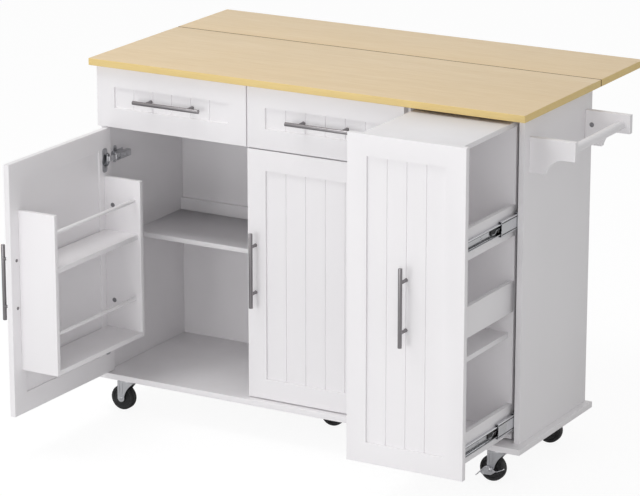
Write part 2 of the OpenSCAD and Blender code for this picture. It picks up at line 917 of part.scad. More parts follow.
// A bracket from y, with its inner face towards way.
module bracket(y, way) {
    face = way == 1 ? y + board_t : y;
    low_seat = way == 1 ? face - rail_seat : face - 1;
    low_cam = way == 1 ? face - cam_deep : face - 1;
    difference() {
        translate([body_x1, y + board_t, 0])
            rotate([90, 0, 0])
                linear_extrude(height = board_t)
                    bracket_shape();
        rod_y(body_x1 + rail_out, rail_z, low_seat, low_seat + rail_seat + 1, rail_r + hole_play);
        rod_y(body_x1 + arm_cam_x, arm_cam_z, low_cam, low_cam + cam_deep + 1, cam_r + hole_play);
        rod_x(y + board_t / 2, arm_cam_z, body_x1 - 1, body_x1 + arm_cam_x, peg_r + hole_play);
    }
}

module towel_brackets() {
    color(white) in_frame() {
        bracket(bracket_y[0], 1);
        bracket(bracket_y[1], -1);
    }
}

module towel_rail() {
    color(white) in_frame()
        rod_y(body_x1 + rail_out, rail_z,
            bracket_y[0] + board_t - rail_seat, bracket_y[1] + rail_seat, rail_r);
}

// ---- Left door, its spice rack and its hinges ----

module left_door_frame() {
    color(white) in_frame() left_door_pose() difference() {
        front_frame(front_1, front_z0, front_w, door_z1 - front_z0);
        handle_holes(handle_x, door_handle_z, 1);
        at_left_hinges() cup_cuts();
        rack_bolts(peg_r + hole_play, peg_deep + hole_end);
    }
}

module left_door_panel() {
    color(white) in_frame() left_door_pose()
        front_panel(front_1, front_z0, front_w, door_z1 - front_z0, beads_door);
}

module left_hinge_cups() {
    color(steel) in_frame() left_door_pose() at_left_hinges() hinge_cup();
}

module left_handle() {
    in_frame() left_door_pose() handle(handle_x, door_handle_z, 1, face_y, inner_y);
}

module left_hinge_links() {
    color(steel) in_frame() left_link_pose() at_left_hinges() hinge_link(1);
}

// The bolts from the rack's cams into the door.
module rack_bolts(r, deep) {
    for (x = [rack_x0 + rack_t / 2, rack_x1 - rack_t / 2]) {
        for (z = rack_z) {
            rod_y(x, z, inner_y - deep, inner_y + cam_in, r);
        }
    }
}

module rack_cam_set(r, extra) {
    for (z = rack_z) {
        rod_x(inner_y + cam_in, z, rack_x0 + rack_t - cam_deep, rack_x0 + rack_t + extra, r);
        rod_x(inner_y + cam_in, z, rack_x1 - rack_t - extra, rack_x1 - rack_t + cam_deep, r);
    }
}

module dowel_set(r) {
    for (z = rack_bays) {
        rod_x(inner_y + dowel_out, z + dowel_up, rack_x0 + rack_t - dowel_seat,
            rack_x1 - rack_t + dowel_seat, r);
    }
}

module rack_sides() {
    color(white) in_frame() left_door_pose() difference() {
        for (x = [rack_x0, rack_x1 - rack_t]) {
            block([x, inner_y, rack_z0], [x + rack_t, inner_y + rack_d, rack_z0 + rack_h]);
        }
        dowel_set(dowel_r + hole_play);
        rack_cam_set(cam_r + hole_play, 1);
        rack_bolts(peg_r + hole_play, 1);
    }
}

module rack_shelves() {
    color(white) in_frame() left_door_pose() {
        block([rack_x0 + rack_t, inner_y, rack_z0], [rack_x1 - rack_t, inner_y + rack_d, rack_z0 + rack_t]);
        block([rack_x0 + rack_t, inner_y, rack_z0 + rack_mid],
            [rack_x1 - rack_t, inner_y + rack_mid_d, rack_z0 + rack_mid + rack_t]);
    }
}

module rack_dowels() {
    color(white) in_frame() left_door_pose() dowel_set(dowel_r);
}

module rack_cams() {
    color(dark_steel) in_frame() left_door_pose() {
        rack_cam_set(cam_r, 0);
        rack_bolts(peg_r, peg_deep);
    }
}

// ---- Middle door ----

module middle_door_frame() {
    color(white) in_frame() difference() {
        front_frame(front_2, front_z0, front_w, door_z1 - front_z0);
        handle_holes(front_2 + handle_in, door_handle_z, 1);
        at_middle_hinges() cup_cuts();
    }
}

module middle_door_panel() {
    color(white) in_frame()
        front_panel(front_2, front_z0, front_w, door_z1 - front_z0, beads_door);
}

module middle_hinge_cups() {
    color(steel) in_frame() at_middle_hinges() hinge_cup();
}

module middle_handle() {
    in_frame() handle(front_2 + handle_in, door_handle_z, 1, face_y, inner_y);
}

module middle_hinge_links() {
    color(steel) in_frame() for (z = hinge_z) {
        translate([front_2 + front_w, inner_y, z])
            hinge_link(-1);
    }
}

// ---- Drawers ----

module drawer_front(x) {
    color(white) in_frame() difference() {
        routed_front(x, drawer_z, front_w, drawer_h, beads_door);
        handle_holes(x + front_w / 2, drawer_handle_z, 0);
    }
}

module drawer_box(x) {
    color(inside_white) in_frame() {
        for (s = [x, x + box_w - box_t]) {
            block([s, inner_y, box_z], [s + box_t, inner_y + box_d, box_z + box_h]);
        }
        block([x + box_t, inner_y + box_d - box_t, box_z],
            [x + box_w - box_t, inner_y + box_d, box_z + box_h]);
        block([x + box_t, inner_y, box_z + bottom_up],
            [x + box_w - box_t, inner_y + box_d - box_t, box_z + bottom_up + bottom_t]);
    }
}

module drawer_slides(x) {
    color(steel) in_frame() bay_sides(x, x + bay_w, slide_z_drawer) {
        slide_inner(inner_y + inner_late, box_d);
        slide_latch(inner_y + latch_y);
    }
}

module drawer_mid(x) {
    color(steel) in_frame() bay_sides(x, x + bay_w, slide_z_drawer)
        slide_middle(slide_y + box_d);
}

module drawer_1_front() {
    drawer_front(front_1);
}

module drawer_1_box() {
    drawer_box(drawer_x[0]);
}

module drawer_1_handle() {
    in_frame() handle(front_1 + front_w / 2, drawer_handle_z, 0, face_y + panel_in, inner_y);
}

module drawer_1_slides() {
    drawer_slides(left_in);
}

module drawer_1_mid() {
    drawer_mid(left_in);
}

module drawer_2_front() {
    drawer_front(front_2);
}

module drawer_2_box() {
    drawer_box(drawer_x[1]);
}

module drawer_2_handle() {
    in_frame() handle(front_2 + front_w / 2, drawer_handle_z, 0, face_y + panel_in, inner_y);
}

module drawer_2_slides() {
    drawer_slides(mid_x1);
}

module drawer_2_mid() {
    drawer_mid(mid_x1);
}

// ---- Pull-out ----

module pull_pose() {
    translate([0, -pull_ext, 0])
        children();
}

module pull_front() {
    color(white) in_frame() pull_pose()
        front_frame(front_3, front_z0, pull_w, front_z1 - front_z0);
}

module pull_panel() {
    color(white) in_frame() pull_pose() difference() {
        front_panel(front_3, front_z0, pull_w, front_z1 - front_z0, beads_pull);
        handle_holes(front_3 + pull_w / 2, pull_handle_z, 1);
    }
}

// Back, top and the three tiers.
module pull_case() {
    color(white) in_frame() {
        block([pull_x0, pull_back, base_z + pull_up], [pull_x1, pull_back + pull_t, pull_top]);
        block([pull_x0, pull_y, pull_top - pull_t], [pull_x1, pull_back, pull_top]);
        for (z = [tier_1, tier_2, tier_3]) {
            block([pull_x0 + pull_t, pull_y, z], [pull_x1 - pull_t, pull_back, z + pull_t]);
        }
    }
}

module pull_guards() {
    color(white) in_frame() for (x = [pull_x0, pull_x1 - pull_t]) {
        for (z = [tier_1, guard_2, tier_3]) {
            block([x, pull_y, z], [x + pull_t, pull_back, z + guard_h]);
        }
    }
}

module pull_handle() {
    in_frame() pull_pose()
        handle(front_3 + pull_w / 2, pull_handle_z, 1, face_y + panel_in, face_y + panel_in + panel_t);
}

module pull_slides() {
    color(steel) in_frame() pull_pose() for (z = slide_z_pull) {
        bay_sides(div_x1, right_in, z) {
            slide_inner(inner_y + inner_late, slide_len);
            slide_latch(inner_y + latch_y);
        }
    }
}

module pull_mid() {
    color(steel) in_frame() translate([0, -pull_ext / 2, 0]) for (z = slide_z_pull) {
        bay_sides(div_x1, right_in, z)
            slide_middle(slide_y + slide_len);
    }
}

// ---- Casters: each is drawn about its swivel axis, the wheel towards -X ----

module plate_screws(c, z, r, h) {
    for (i = [-1, 1]) {
        for (j = [-1, 1]) {
            rod_z(c[0] + i * mount_hole, c[1] + j * mount_hole, z, z + h, r);
        }
    }
}

module caster_plates() {
    low = caster_h - mount_t;
    color(steel) in_frame() for (c = casters) {
        block([c[0] - mount_w / 2, c[1] - mount_w / 2, low],
            [c[0] + mount_w / 2, c[1] + mount_w / 2, caster_h]);
        rod_z(c[0], c[1], low - race_h_top, low, race_r);
        rod_z(c[0], c[1], fork_z - king_nut, low, king_r);
        rod_z(c[0], c[1], fork_z - king_nut - race_gap, fork_z - race_gap, king_r + king_nut);
        plate_screws(c, low, screw_r, mount_screw);
        plate_screws(c, low - screw_head, head_r, screw_head);
    }
}

// One leg's outline, with the swivel axis at x = 0 and the floor at y = 0.
module leg_shape() {
    translate([-trail, wheel_r])
        circle(r = fork_r);
    polygon([[-trail - fork_r, fork_z + fork_t], [-trail - fork_r, wheel_r],
        [-trail + belly_x, wheel_r - belly_drop], [-trail + fork_r, wheel_r + waist_up],
        [fork_x1, fork_z + fork_t]]);
}

// A fork whose axle reaches front_y towards the front.
module fork_at(c, front_y) {
    outer_y = leg_y + fork_t;
    color(steel) in_frame() translate([c[0], c[1], 0]) difference() {
        union() {
            for (y = [-leg_y, outer_y]) {
                translate([0, y, 0])
                    rotate([90, 0, 0])
                        linear_extrude(height = fork_t)
                            leg_shape();
            }
            block([-trail - fork_r, -leg_y - 1, fork_z], [fork_x1, leg_y + 1, fork_z + fork_t]);
            rod_z(0, 0, fork_z + fork_t, caster_h - mount_t - race_h_top - race_gap, race_r + 1);
            rod_y(-trail, wheel_r, -front_y, outer_y + rivet_t, axle_r);
            rod_y(-trail, wheel_r, -front_y, -front_y + rivet_t, rivet_r);
            rod_y(-trail, wheel_r, outer_y, outer_y + rivet_t, rivet_r);
        }
        rod_z(0, 0, fork_z - 1, caster_h, king_r + king_play);
    }
}

// Half of a wheel's profile: radius, then distance from its middle.
function wheel_half() = [
    [axle_r + pin_play, hub_w / 2],
    [hub_r, hub_w / 2],
    [hub_r, web_w / 2],
    [wheel_r - tread_in - 1, web_w / 2],
    [wheel_r - tread_in, wheel_w / 2],
    [wheel_r - tread_edge, wheel_w / 2],
    [wheel_r, wheel_w / 2 - tread_edge]
];

module wheel_at(c) {
    half = wheel_half();
    last = len(half) - 1;
    color(black) in_frame() translate([c[0] - trail, c[1], wheel_r]) rotate([-90, 0, 0]) rotate_extrude()
        polygon(concat(half, [for (i = [last : -1 : 0]) [half[i][0], -half[i][1]]]));
}

module brake_rocker() {
    c = casters[1];
    color(steel) in_frame() translate([c[0] - trail, c[1] - rocker_y - rocker_t, wheel_r]) difference() {
        union() {
            translate([0, rocker_t, 0])
                rotate([90, 0, 0])
                    linear_extrude(height = rocker_t)
                        polygon(rocker_cheek);
            translate([0, rocker_t, 0])
                rotate([90, 0, 0])
                    linear_extrude(height = rocker_w)
                        polygon(strip_outline(rocker_edge, rocker_t));
        }
        rod_y(0, 0, -rocker_w, rocker_t + 1, axle_r + pin_play);
    }
}

module fork_1() {
    fork_at(casters[0], plain_front);
}

// This one's axle also carries the brake rocker.
module fork_2() {
    fork_at(casters[1], rocker_front);
}

module fork_3() {
    fork_at(casters[2], plain_front);
}

module fork_4() {
    fork_at(casters[3], plain_front);
}

module fork_5() {
    fork_at(casters[4], plain_front);
}

module wheel_1() {
    wheel_at(casters[0]);
}

module wheel_2() {
    wheel_at(casters[1]);
}

module wheel_3() {
    wheel_at(casters[2]);
}

module wheel_4() {
    wheel_at(casters[3]);
}

module wheel_5() {
    wheel_at(casters[4]);
}

countertop();
side_left();
side_right();
divider();
drawer_deck();
back_panel();
base_board();
shelf();
fasteners();
hinge_arms();
slide_outers();
pull_slide_outers();
leaf_hinge_fixed();
towel_brackets();
towel_rail();
caster_plates();
left_door_frame();
left_door_panel();
left_hinge_cups();
left_handle();
rack_sides();
rack_shelves();
rack_dowels();
rack_cams();
left_hinge_links();
middle_door_frame();
middle_door_panel();
middle_hinge_cups();
middle_handle();
middle_hinge_links();
drawer_1_front();
drawer_1_box();
drawer_1_handle();
drawer_1_slides();
drawer_1_mid();
drawer_2_front();
drawer_2_box();
drawer_2_handle();
drawer_2_slides();
drawer_2_mid();
pull_front();
pull_panel();
pull_case();
pull_guards();
pull_handle();
pull_slides();
pull_mid();
drop_leaf();
leaf_hinge_moving();
fork_1();
fork_2();
fork_3();
fork_4();
fork_5();
wheel_1();
wheel_2();
wheel_3();
wheel_4();
wheel_5();
brake_rocker();
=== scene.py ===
"""Surfaces and finishes of a rolling kitchen island with a drop leaf.

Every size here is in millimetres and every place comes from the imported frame, so each piece lands
on the part that it stands for. Points are turned into metres when a mesh is made.
"""

from __future__ import annotations

import json
import logging
import math
from collections.abc import Iterable, Sequence
from dataclasses import dataclass
from enum import Enum

import bmesh
import bpy
import numpy as np
from numpy.typing import NDArray
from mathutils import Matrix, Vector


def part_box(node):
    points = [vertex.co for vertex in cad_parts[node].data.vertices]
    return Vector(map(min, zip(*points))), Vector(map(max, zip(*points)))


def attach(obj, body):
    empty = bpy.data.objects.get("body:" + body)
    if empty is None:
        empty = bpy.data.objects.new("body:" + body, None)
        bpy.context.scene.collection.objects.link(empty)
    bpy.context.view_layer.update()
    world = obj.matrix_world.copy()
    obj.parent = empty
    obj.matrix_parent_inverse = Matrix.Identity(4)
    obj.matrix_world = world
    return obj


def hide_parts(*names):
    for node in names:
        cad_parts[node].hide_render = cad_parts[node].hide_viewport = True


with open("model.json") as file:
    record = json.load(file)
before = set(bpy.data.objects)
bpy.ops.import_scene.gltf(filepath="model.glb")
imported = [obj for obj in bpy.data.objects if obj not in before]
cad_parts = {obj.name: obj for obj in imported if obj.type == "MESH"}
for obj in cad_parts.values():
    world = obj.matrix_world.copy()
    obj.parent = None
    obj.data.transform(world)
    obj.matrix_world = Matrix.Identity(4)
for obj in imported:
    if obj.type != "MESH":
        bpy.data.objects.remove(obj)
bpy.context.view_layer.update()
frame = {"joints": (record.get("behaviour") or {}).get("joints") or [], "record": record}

log = logging.getLogger("island")

Array = NDArray[np.float64]
Rows = Array | Sequence[Sequence[float]]
Point = tuple[float, float, float]
Colour = tuple[float, float, float]
Socket = bpy.types.NodeSocket
Value = Socket | float

METRE = 1000.0
MERGE = 1e-6
BODY_OF = {node: body for body, nodes in frame["record"]["behaviour"]["bodies"].items() for node in nodes}


class Axis(Enum):
    """A direction of the frame."""

    X = 0
    Y = 1
    Z = 2


# ---- Places, read from the frame ----


@dataclass(frozen=True)
class Box:
    """The lowest and the highest corner of something, in millimetres."""

    lo: Array
    hi: Array

    @classmethod
    def of(cls, node: str) -> Box:
        """The box of a CAD node at rest."""
        lo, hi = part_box(node)
        return cls(np.array(lo) * METRE, np.array(hi) * METRE)

    def middle(self) -> Array:
        """The middle of the box."""
        return (self.lo + self.hi) / 2


def joint_place(name: str) -> Array:
    """Where a joint's axis lies.

    Args:
        name: the joint's name in the record.

    Returns:
        A point of the axis, in millimetres.
    """
    joint = next(joint for joint in frame["joints"] if joint["name"] == name)
    return np.array(joint["pos_m"]) * METRE


@dataclass(frozen=True)
class Placement:
    """Where a sub-assembly's own zero lies, how it is turned about Z and whether X is mirrored."""

    origin: tuple[float, float, float] = (0.0, 0.0, 0.0)
    turn: float = 0.0
    mirrored: bool = False

    def apply(self, points: Array) -> Array:
        """Moves points from the sub-assembly's frame to the part's.

        The first coordinate is mirrored if asked, the point is turned about Z and then moved.

        Args:
            points: points as rows, in millimetres.

        Returns:
            The moved points.
        """
        x = -points[:, 0] if self.mirrored else points[:, 0]
        cos, sin = math.cos(math.radians(self.turn)), math.sin(math.radians(self.turn))
        turned = np.stack([x * cos - points[:, 1] * sin, x * sin + points[:, 1] * cos, points[:, 2]], -1)
        return turned + np.array(self.origin)


# ---- Shapes ----


@dataclass
class Shell:
    """A closed surface: points in millimetres, and blocks of faces with equally many corners."""

    points: Array
    faces: list[NDArray[np.int64]]

    def placed(self, where: Placement) -> Shell:
        """The same shell, moved to its place."""
        return Shell(where.apply(self.points), self.faces)


def in_space(axis: Axis, across: Array, up: Array, along: Array) -> Array:
    """Stacks plane coordinates and a coordinate along an axis into points.

    Args:
        axis: the direction that along runs in.
        across: first coordinate of the plane square to it.
        up: second coordinate of that plane.
        along: distance along the axis.

    Returns:
        Points in the last dimension.
    """
    order = {Axis.X: (along, across, up), Axis.Y: (across, along, up), Axis.Z: (across, up, along)}
    return np.stack(np.broadcast_arrays(*order[axis]), -1)


def carried(rings: Array, closed: bool = False) -> Shell:
    """Joins rings of points, each ring closed, into one surface.

    Args:
        rings: points by row and column; a row is a ring.
        closed: whether the last ring joins the first one, as on a frame. Otherwise both ends
            get a flat cap, which vanishes where the ring is a single point.

    Returns:
        The surface.
    """
    rows, columns = rings.shape[:2]
    number = np.arange(rows * columns).reshape(rows, columns)
    beside = np.roll(number, -1, axis=1)
    lower, upper = (number, np.roll(number, -1, axis=0)) if closed else (number[:-1], number[1:])
    lower_b, upper_b = (beside, np.roll(beside, -1, axis=0)) if closed else (beside[:-1], beside[1:])
    faces = [np.stack([lower, lower_b, upper_b, upper], -1).reshape(-1, 4)]
    if not closed:
        faces += [number[:1, ::-1], number[-1:]]
    return Shell(rings.reshape(-1, 3), faces)


def arc(centre: Sequence[float], radius: float, start: float, end: float, steps: int = 8) -> Array:
    """Points on a circle: centre + radius * (cos a, sin a), with a from start to end in degrees.

    Args:
        centre: middle of the circle.
        radius: its radius.
        start: first angle.
        end: last angle.
        steps: spaces between points.

    Returns:
        Points as rows.
    """
    angle = np.radians(np.linspace(start, end, steps + 1))
    return np.array(centre) + radius * np.stack([np.cos(angle), np.sin(angle)], -1)


def rounded_outline(lo: Sequence[float], hi: Sequence[float], radius: float, steps: int = 5) -> Array:
    """A rectangle whose corners are quarter circles.

    Args:
        lo: lowest corner.
        hi: highest corner.
        radius: radius of the corners.
        steps: spaces in each quarter.

    Returns:
        The outline's points, in turn.
    """
    corners = [(hi[0], lo[1], -90), (hi[0], hi[1], 0), (lo[0], hi[1], 90), (lo[0], lo[1], 180)]
    middle = (np.array(lo) + np.array(hi)) / 2
    return np.concatenate([
        arc((x - math.copysign(radius, x - middle[0]), z - math.copysign(radius, z - middle[1])),
            radius, start, start + 90, steps)
        for x, z, start in corners])


def filleted(path: Rows, radius: float, steps: int = 4) -> Array:
    """A path whose inner corners are rounded.

    Each corner becomes a quadratic curve p(t) = (1-t)^2 a + 2t(1-t) c + t^2 b, from a point
    before the corner c to one after it, both a radius away or half the side if that is less.

    Args:
        path: corners of the path.
        radius: distance from a corner to the curve's ends.
        steps: spaces on each curve.

    Returns:
        The path's points.
    """
    corner = np.array(path, float)
    t = np.linspace(0, 1, steps + 1)[:, None]
    runs = [corner[:1]]
    for before, here, after in zip(corner[:-2], corner[1:-1], corner[2:]):
        back, on = before - here, after - here
        a = here + back * min(radius / np.linalg.norm(back), 0.5)
        b = here + on * min(radius / np.linalg.norm(on), 0.5)
        runs.append((1 - t) ** 2 * a + 2 * t * (1 - t) * here + t**2 * b)
    return np.concatenate([*runs, corner[-1:]])


def strip_outline(path: Array, thickness: float) -> Array:
    """The outline of a bent strip: its middle line moved half a thickness to either side.

    At a point the side direction is the mean of the two neighbouring sides' normals, made
    longer so that the strip keeps its thickness.

    Args:
        path: points of the middle line.
        thickness: thickness of the strip.

    Returns:
        The outline's points, up one side and down the other.
    """
    run = np.diff(path, axis=0)
    normal = np.stack([-run[:, 1], run[:, 0]], -1) / np.linalg.norm(run, axis=1)[:, None]
    before, after = np.concatenate([normal[:1], normal]), np.concatenate([normal, normal[-1:]])
    mean = (before + after) / np.linalg.norm(before + after, axis=1)[:, None]
    side = mean / np.sum(mean * before, axis=1)[:, None] * thickness / 2
    return np.concatenate([path + side, (path - side)[::-1]])


def prism(outline: Array, start: float, end: float, axis: Axis) -> Shell:
    """Carries an outline straight along an axis.

    Args:
        outline: points of the plane square to the axis.
        start: where the outline starts.
        end: where it ends.
        axis: the direction it is carried in.

    Returns:
        The closed prism.
    """
    along = np.array([[start], [end]])
    return carried(in_space(axis, outline[None, :, 0], outline[None, :, 1], along))


def turned(profile: Rows, centre: Sequence[float], axis: Axis, steps: int = 32) -> Shell:
    """A body of revolution: a profile of radius and height is carried round an axis.

    Args:
        profile: rows of radius and height along the axis; ends on the axis are poles.
        centre: the point of the axis where the height is zero.
        axis: direction of the axis.
        steps: points round the axis.

    Returns:
        The closed surface.
    """
    radius, height = np.array(profile, float).T[:, :, None]
    angle = np.linspace(0, 2 * np.pi, steps, endpoint=False)[None, :]
    rings = in_space(axis, radius * np.cos(angle), radius * np.sin(angle), height + 0 * angle)
    return carried(rings + np.array(centre, float))


def hoop(section: Rows, centre: Sequence[float], axis: Axis, steps: int) -> Shell:
    """A ring: a closed section is carried round an axis, so that it needs no caps.

    Args:
        section: rows of radius and height along the axis, in turn.
        centre: the point of the axis where the height is zero.
        axis: direction of the axis.
        steps: points round the axis.

    Returns:
        The closed ring.
    """
    rows = np.array(section, float)
    skin = turned(np.concatenate([rows, rows[:1]]), centre, axis, steps)
    return Shell(skin.points, skin.faces[:1])


def rod_profile(radius: float, start: float, end: float, ease: float) -> Array:
    """The profile of a plain rod with eased rims.

    At the angle a from 90 to 0 degrees a rim's point lies ease * (1 - cos a) inside the radius
    and ease * (1 - sin a) from the rod's end.

    Args:
        radius: radius of the rod.
        start: height of its first end.
        end: height of its other end.
        ease: radius of the rims.

    Returns:
        Rows of radius and height, from pole to pole.
    """
    a = np.radians([90, 60, 30, 0])
    rim = np.stack([radius - ease * (1 - np.cos(a)), start + ease * (1 - np.sin(a))], -1)
    far = ([0, end + start] + rim * [1, -1])[::-1]
    return np.concatenate([[(0, start)], rim, far, [(0, end)]])


def board(lo: Sequence[float], hi: Sequence[float], ease: float = 0.8, steps: int = 3) -> Shell:
    """A board with round edges and corners.

    A rectangle with rounded corners is carried along Y. At its ends the quarter circle's angle a
    goes from 90 to 0 degrees, the ring lies ease * (1 - sin a) from the end, and its corners
    have the radius ease * cos a about centres that stay.

    Args:
        lo: lowest corner.
        hi: highest corner.
        ease: radius of the edges.
        steps: spaces in each quarter circle.

    Returns:
        The closed board.
    """
    a = np.radians(np.linspace(90, 0, steps + 1))
    y = np.concatenate([lo[1] + ease * (1 - np.sin(a)), (hi[1] - ease * (1 - np.sin(a)))[::-1]])
    radius = np.concatenate([ease * np.cos(a), ease * np.cos(a)[::-1]])
    b = np.radians(np.linspace(0, 90, steps + 1))[None, :] + np.radians([180, 270, 0, 90])[:, None]
    centre_x = np.array([lo[0] + ease, hi[0] - ease, hi[0] - ease, lo[0] + ease])[:, None] + 0 * b
    centre_z = np.array([lo[2] + ease, lo[2] + ease, hi[2] - ease, hi[2] - ease])[:, None] + 0 * b
    x = centre_x.ravel() + radius[:, None] * np.cos(b).ravel()
    z = centre_z.ravel() + radius[:, None] * np.sin(b).ravel()
    return carried(in_space(Axis.Y, x, z, y[:, None]))


def mitred_frame(width: float, height: float, profile: Array) -> Shell:
    """A frame: a profile is carried round a rectangle, with mitred corners.

    A profile point has its distance d from the rectangle's edge and its depth v. On the ring of
    corners it gives the points (d or width - d, v, d or height - d).

    Args:
        width: width of the frame.
        height: height of the frame.
        profile: rows of d and v, in turn round the section.

    Returns:
        The closed frame, its lower left corner at zero.
    """
    inset = profile[:, 0:1]
    x = np.concatenate([inset, width - inset, width - inset, inset], 1)
    z = np.concatenate([inset, inset, height - inset, height - inset], 1)
    return carried(in_space(Axis.Y, x, z, profile[:, 1:2]), closed=True)


def relief(x: Array, z: Array, depth: Array, back: float, ease: float) -> Shell:
    """A board whose front is a height field over a grid and whose back is flat.

    The front's point (i, j) is (x_i, depth_ij, z_j). Its rim is carried straight back to the
    rear face, which it meets with a chamfer.

    Args:
        x: grid lines across.
        z: grid lines upwards.
        depth: depth of the front at each crossing, by row of x and column of z.
        back: depth of the rear face.
        ease: size of the chamfer.

    Returns:
        The closed board.
    """
    across, up = np.meshgrid(x, z, indexing="ij")
    front = in_space(Axis.Y, across, up, depth)
    number = np.arange(depth.size).reshape(depth.shape)
    quads = np.stack([number[:-1, :-1], number[1:, :-1], number[1:, 1:], number[:-1, 1:]], -1).reshape(-1, 4)
    rim = np.concatenate([number[:-1, 0], number[-1, :-1], number[:0:-1, -1], number[0, :0:-1]])
    edge = front.reshape(-1, 3)[rim]
    middle = np.array([(x[0] + x[-1]) / 2, 0, (z[0] + z[-1]) / 2])
    half = np.array([(x[-1] - x[0]) / 2, 1, (z[-1] - z[0]) / 2])
    inner = middle + (edge - middle) * (half - [ease, 0, ease]) / half
    straight, rear = edge.copy(), inner.copy()
    straight[:, 1], rear[:, 1] = back - ease, back
    count = len(rim)
    rings = np.stack([rim, depth.size + np.arange(count), depth.size + count + np.arange(count)])
    sides = [np.stack([a, b, np.roll(b, -1), np.roll(a, -1)], -1) for a, b in zip(rings, rings[1:])]
    points = np.concatenate([front.reshape(-1, 3), straight, rear])
    return Shell(points, [quads, *sides, rings[-1:][:, ::-1]])


DOME_FALL = 0.45
SLOT_REACH = 0.62
SLOT_DEPTH = 0.6


def screw_head(centre: Sequence[float], axis: Axis, way: int, radius: float = 4.0, height: float = 1.2,
               slot: float = 0.9, turn: float = 20.0) -> Shell:
    """A domed screw head with a cross slot, as a height field in polar coordinates.

    At radius r and angle a the height is the dome height * (1 - DOME_FALL (r / radius)^2), less
    SLOT_DEPTH of the height where the point lies within half a slot's width of either arm of
    the cross and inside SLOT_REACH of the radius. The last ring drops to the seat.

    Args:
        centre: middle of the head on its seat.
        axis: direction of the screw.
        way: 1 where the head looks along the axis, -1 where it looks back.
        radius: radius of the head.
        height: height of the head.
        slot: width of the slot.
        turn: angle of the cross, in degrees.

    Returns:
        The closed head.
    """
    share = np.array([0, 0.1, 0.16, 0.3, 0.45, 0.6, 0.64, 0.85, 1.0, 1.0])[:, None]
    angle = np.linspace(0, 2 * np.pi, 48, endpoint=False)[None, :]
    u, v = radius * share * np.cos(angle), radius * share * np.sin(angle)
    cos, sin = math.cos(math.radians(turn)), math.sin(math.radians(turn))
    arm = np.minimum(abs(u * cos + v * sin), abs(v * cos - u * sin))
    cut = (arm < slot / 2) & (share < SLOT_REACH)
    rise = height * (1 - DOME_FALL * share**2) - SLOT_DEPTH * height * cut
    rise[-1] = 0
    return carried(in_space(axis, u, v, way * rise) + np.array(centre, float))


# ---- Meshes ----


def joined_mesh(name: str, shells: Iterable[Shell]) -> bpy.types.Mesh:
    """Puts shells into one mesh, merges doubles and turns all faces outwards.

    Args:
        name: the mesh's name.
        shells: closed surfaces, in millimetres.

    Returns:
        The mesh, in metres.
    """
    points, corners, sizes, first = [], [], [], 0
    for shell in shells:
        points.append(shell.points)
        for block in shell.faces:
            corners.append((block + first).ravel())
            sizes.append(np.full(len(block), block.shape[1]))
        first += len(shell.points)
    total, loops = np.concatenate(sizes), np.concatenate(corners)
    mesh = bpy.data.meshes.new(name)
    mesh.vertices.add(first)
    mesh.loops.add(len(loops))
    mesh.polygons.add(len(total))
    mesh.vertices.foreach_set("co", (np.concatenate(points) / METRE).astype(np.float32).ravel())
    mesh.loops.foreach_set("vertex_index", loops.astype(np.int32))
    mesh.polygons.foreach_set("loop_start", (np.cumsum(total) - total).astype(np.int32))
    mesh.update(calc_edges=True)
    work = bmesh.new()
    work.from_mesh(mesh)
    bmesh.ops.remove_doubles(work, verts=work.verts, dist=MERGE)
    bmesh.ops.dissolve_degenerate(work, edges=work.edges, dist=MERGE)
    bmesh.ops.recalc_face_normals(work, faces=work.faces)
    work.to_mesh(mesh)
    work.free()
    return mesh


def bored(mesh: bpy.types.Mesh, cutters: Iterable[Shell]) -> bpy.types.Mesh:
    """Cuts holes into a mesh with an exact boolean difference.

    Args:
        mesh: the mesh to cut, in metres.
        cutters: closed surfaces that take material away.

    Returns:
        The mesh with its holes.
    """
    body = bpy.data.objects.new("body", mesh)
    tool = bpy.data.objects.new("tool", joined_mesh("tool", cutters))
    for thing in (body, tool):
        bpy.context.scene.collection.objects.link(thing)
    cut = body.modifiers.new("cut", "BOOLEAN")
    cut.operation, cut.solver, cut.object = "DIFFERENCE", "EXACT", tool
    bpy.context.view_layer.update()
    result = bpy.data.meshes.new_from_object(body.evaluated_get(bpy.context.evaluated_depsgraph_get()))
    for thing in (body, tool):
        bpy.data.objects.remove(thing)
    return result


def dressed(name: str, nodes: str | Sequence[str], surface: Iterable[Shell] | bpy.types.Mesh,
            *finishes: bpy.types.Material, round_by: float = 0.0, sharp: float = 32.0) -> bpy.types.Object:
    """Makes a piece that stands for CAD nodes, rides with them and hides them.

    Args:
        name: the piece's name.
        nodes: the CAD node, or nodes, that it replaces; all lie on one body.
        surface: its shells, or a mesh that is ready.
        finishes: its materials, by material index.
        round_by: width of a bevel on its sharp edges, in millimetres, or 0 for none.
        sharp: edges with a larger angle than this stay sharp, in degrees.

    Returns:
        The piece.
    """
    names = [nodes] if isinstance(nodes, str) else list(nodes)
    mesh = surface if isinstance(surface, bpy.types.Mesh) else joined_mesh(name, surface)
    mesh.materials.clear()
    for finish in finishes:
        mesh.materials.append(finish)
    piece = bpy.data.objects.new(name, mesh)
    bpy.context.scene.collection.objects.link(piece)
    mesh.shade_smooth()
    if round_by:
        bevel = piece.modifiers.new("eased_edges", "BEVEL")
        bevel.width, bevel.segments, bevel.limit_method = round_by / METRE, 2, "ANGLE"
        bevel.angle_limit, bevel.harden_normals = math.radians(sharp), True
    mesh.set_sharp_from_angle(angle=math.radians(sharp))
    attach(piece, BODY_OF[names[0]])
    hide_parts(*names)
    log.info("%s for %s on %s: %d faces", name, ", ".join(names), BODY_OF[names[0]], len(mesh.polygons))
    return piece


# ---- Shader helpers ----


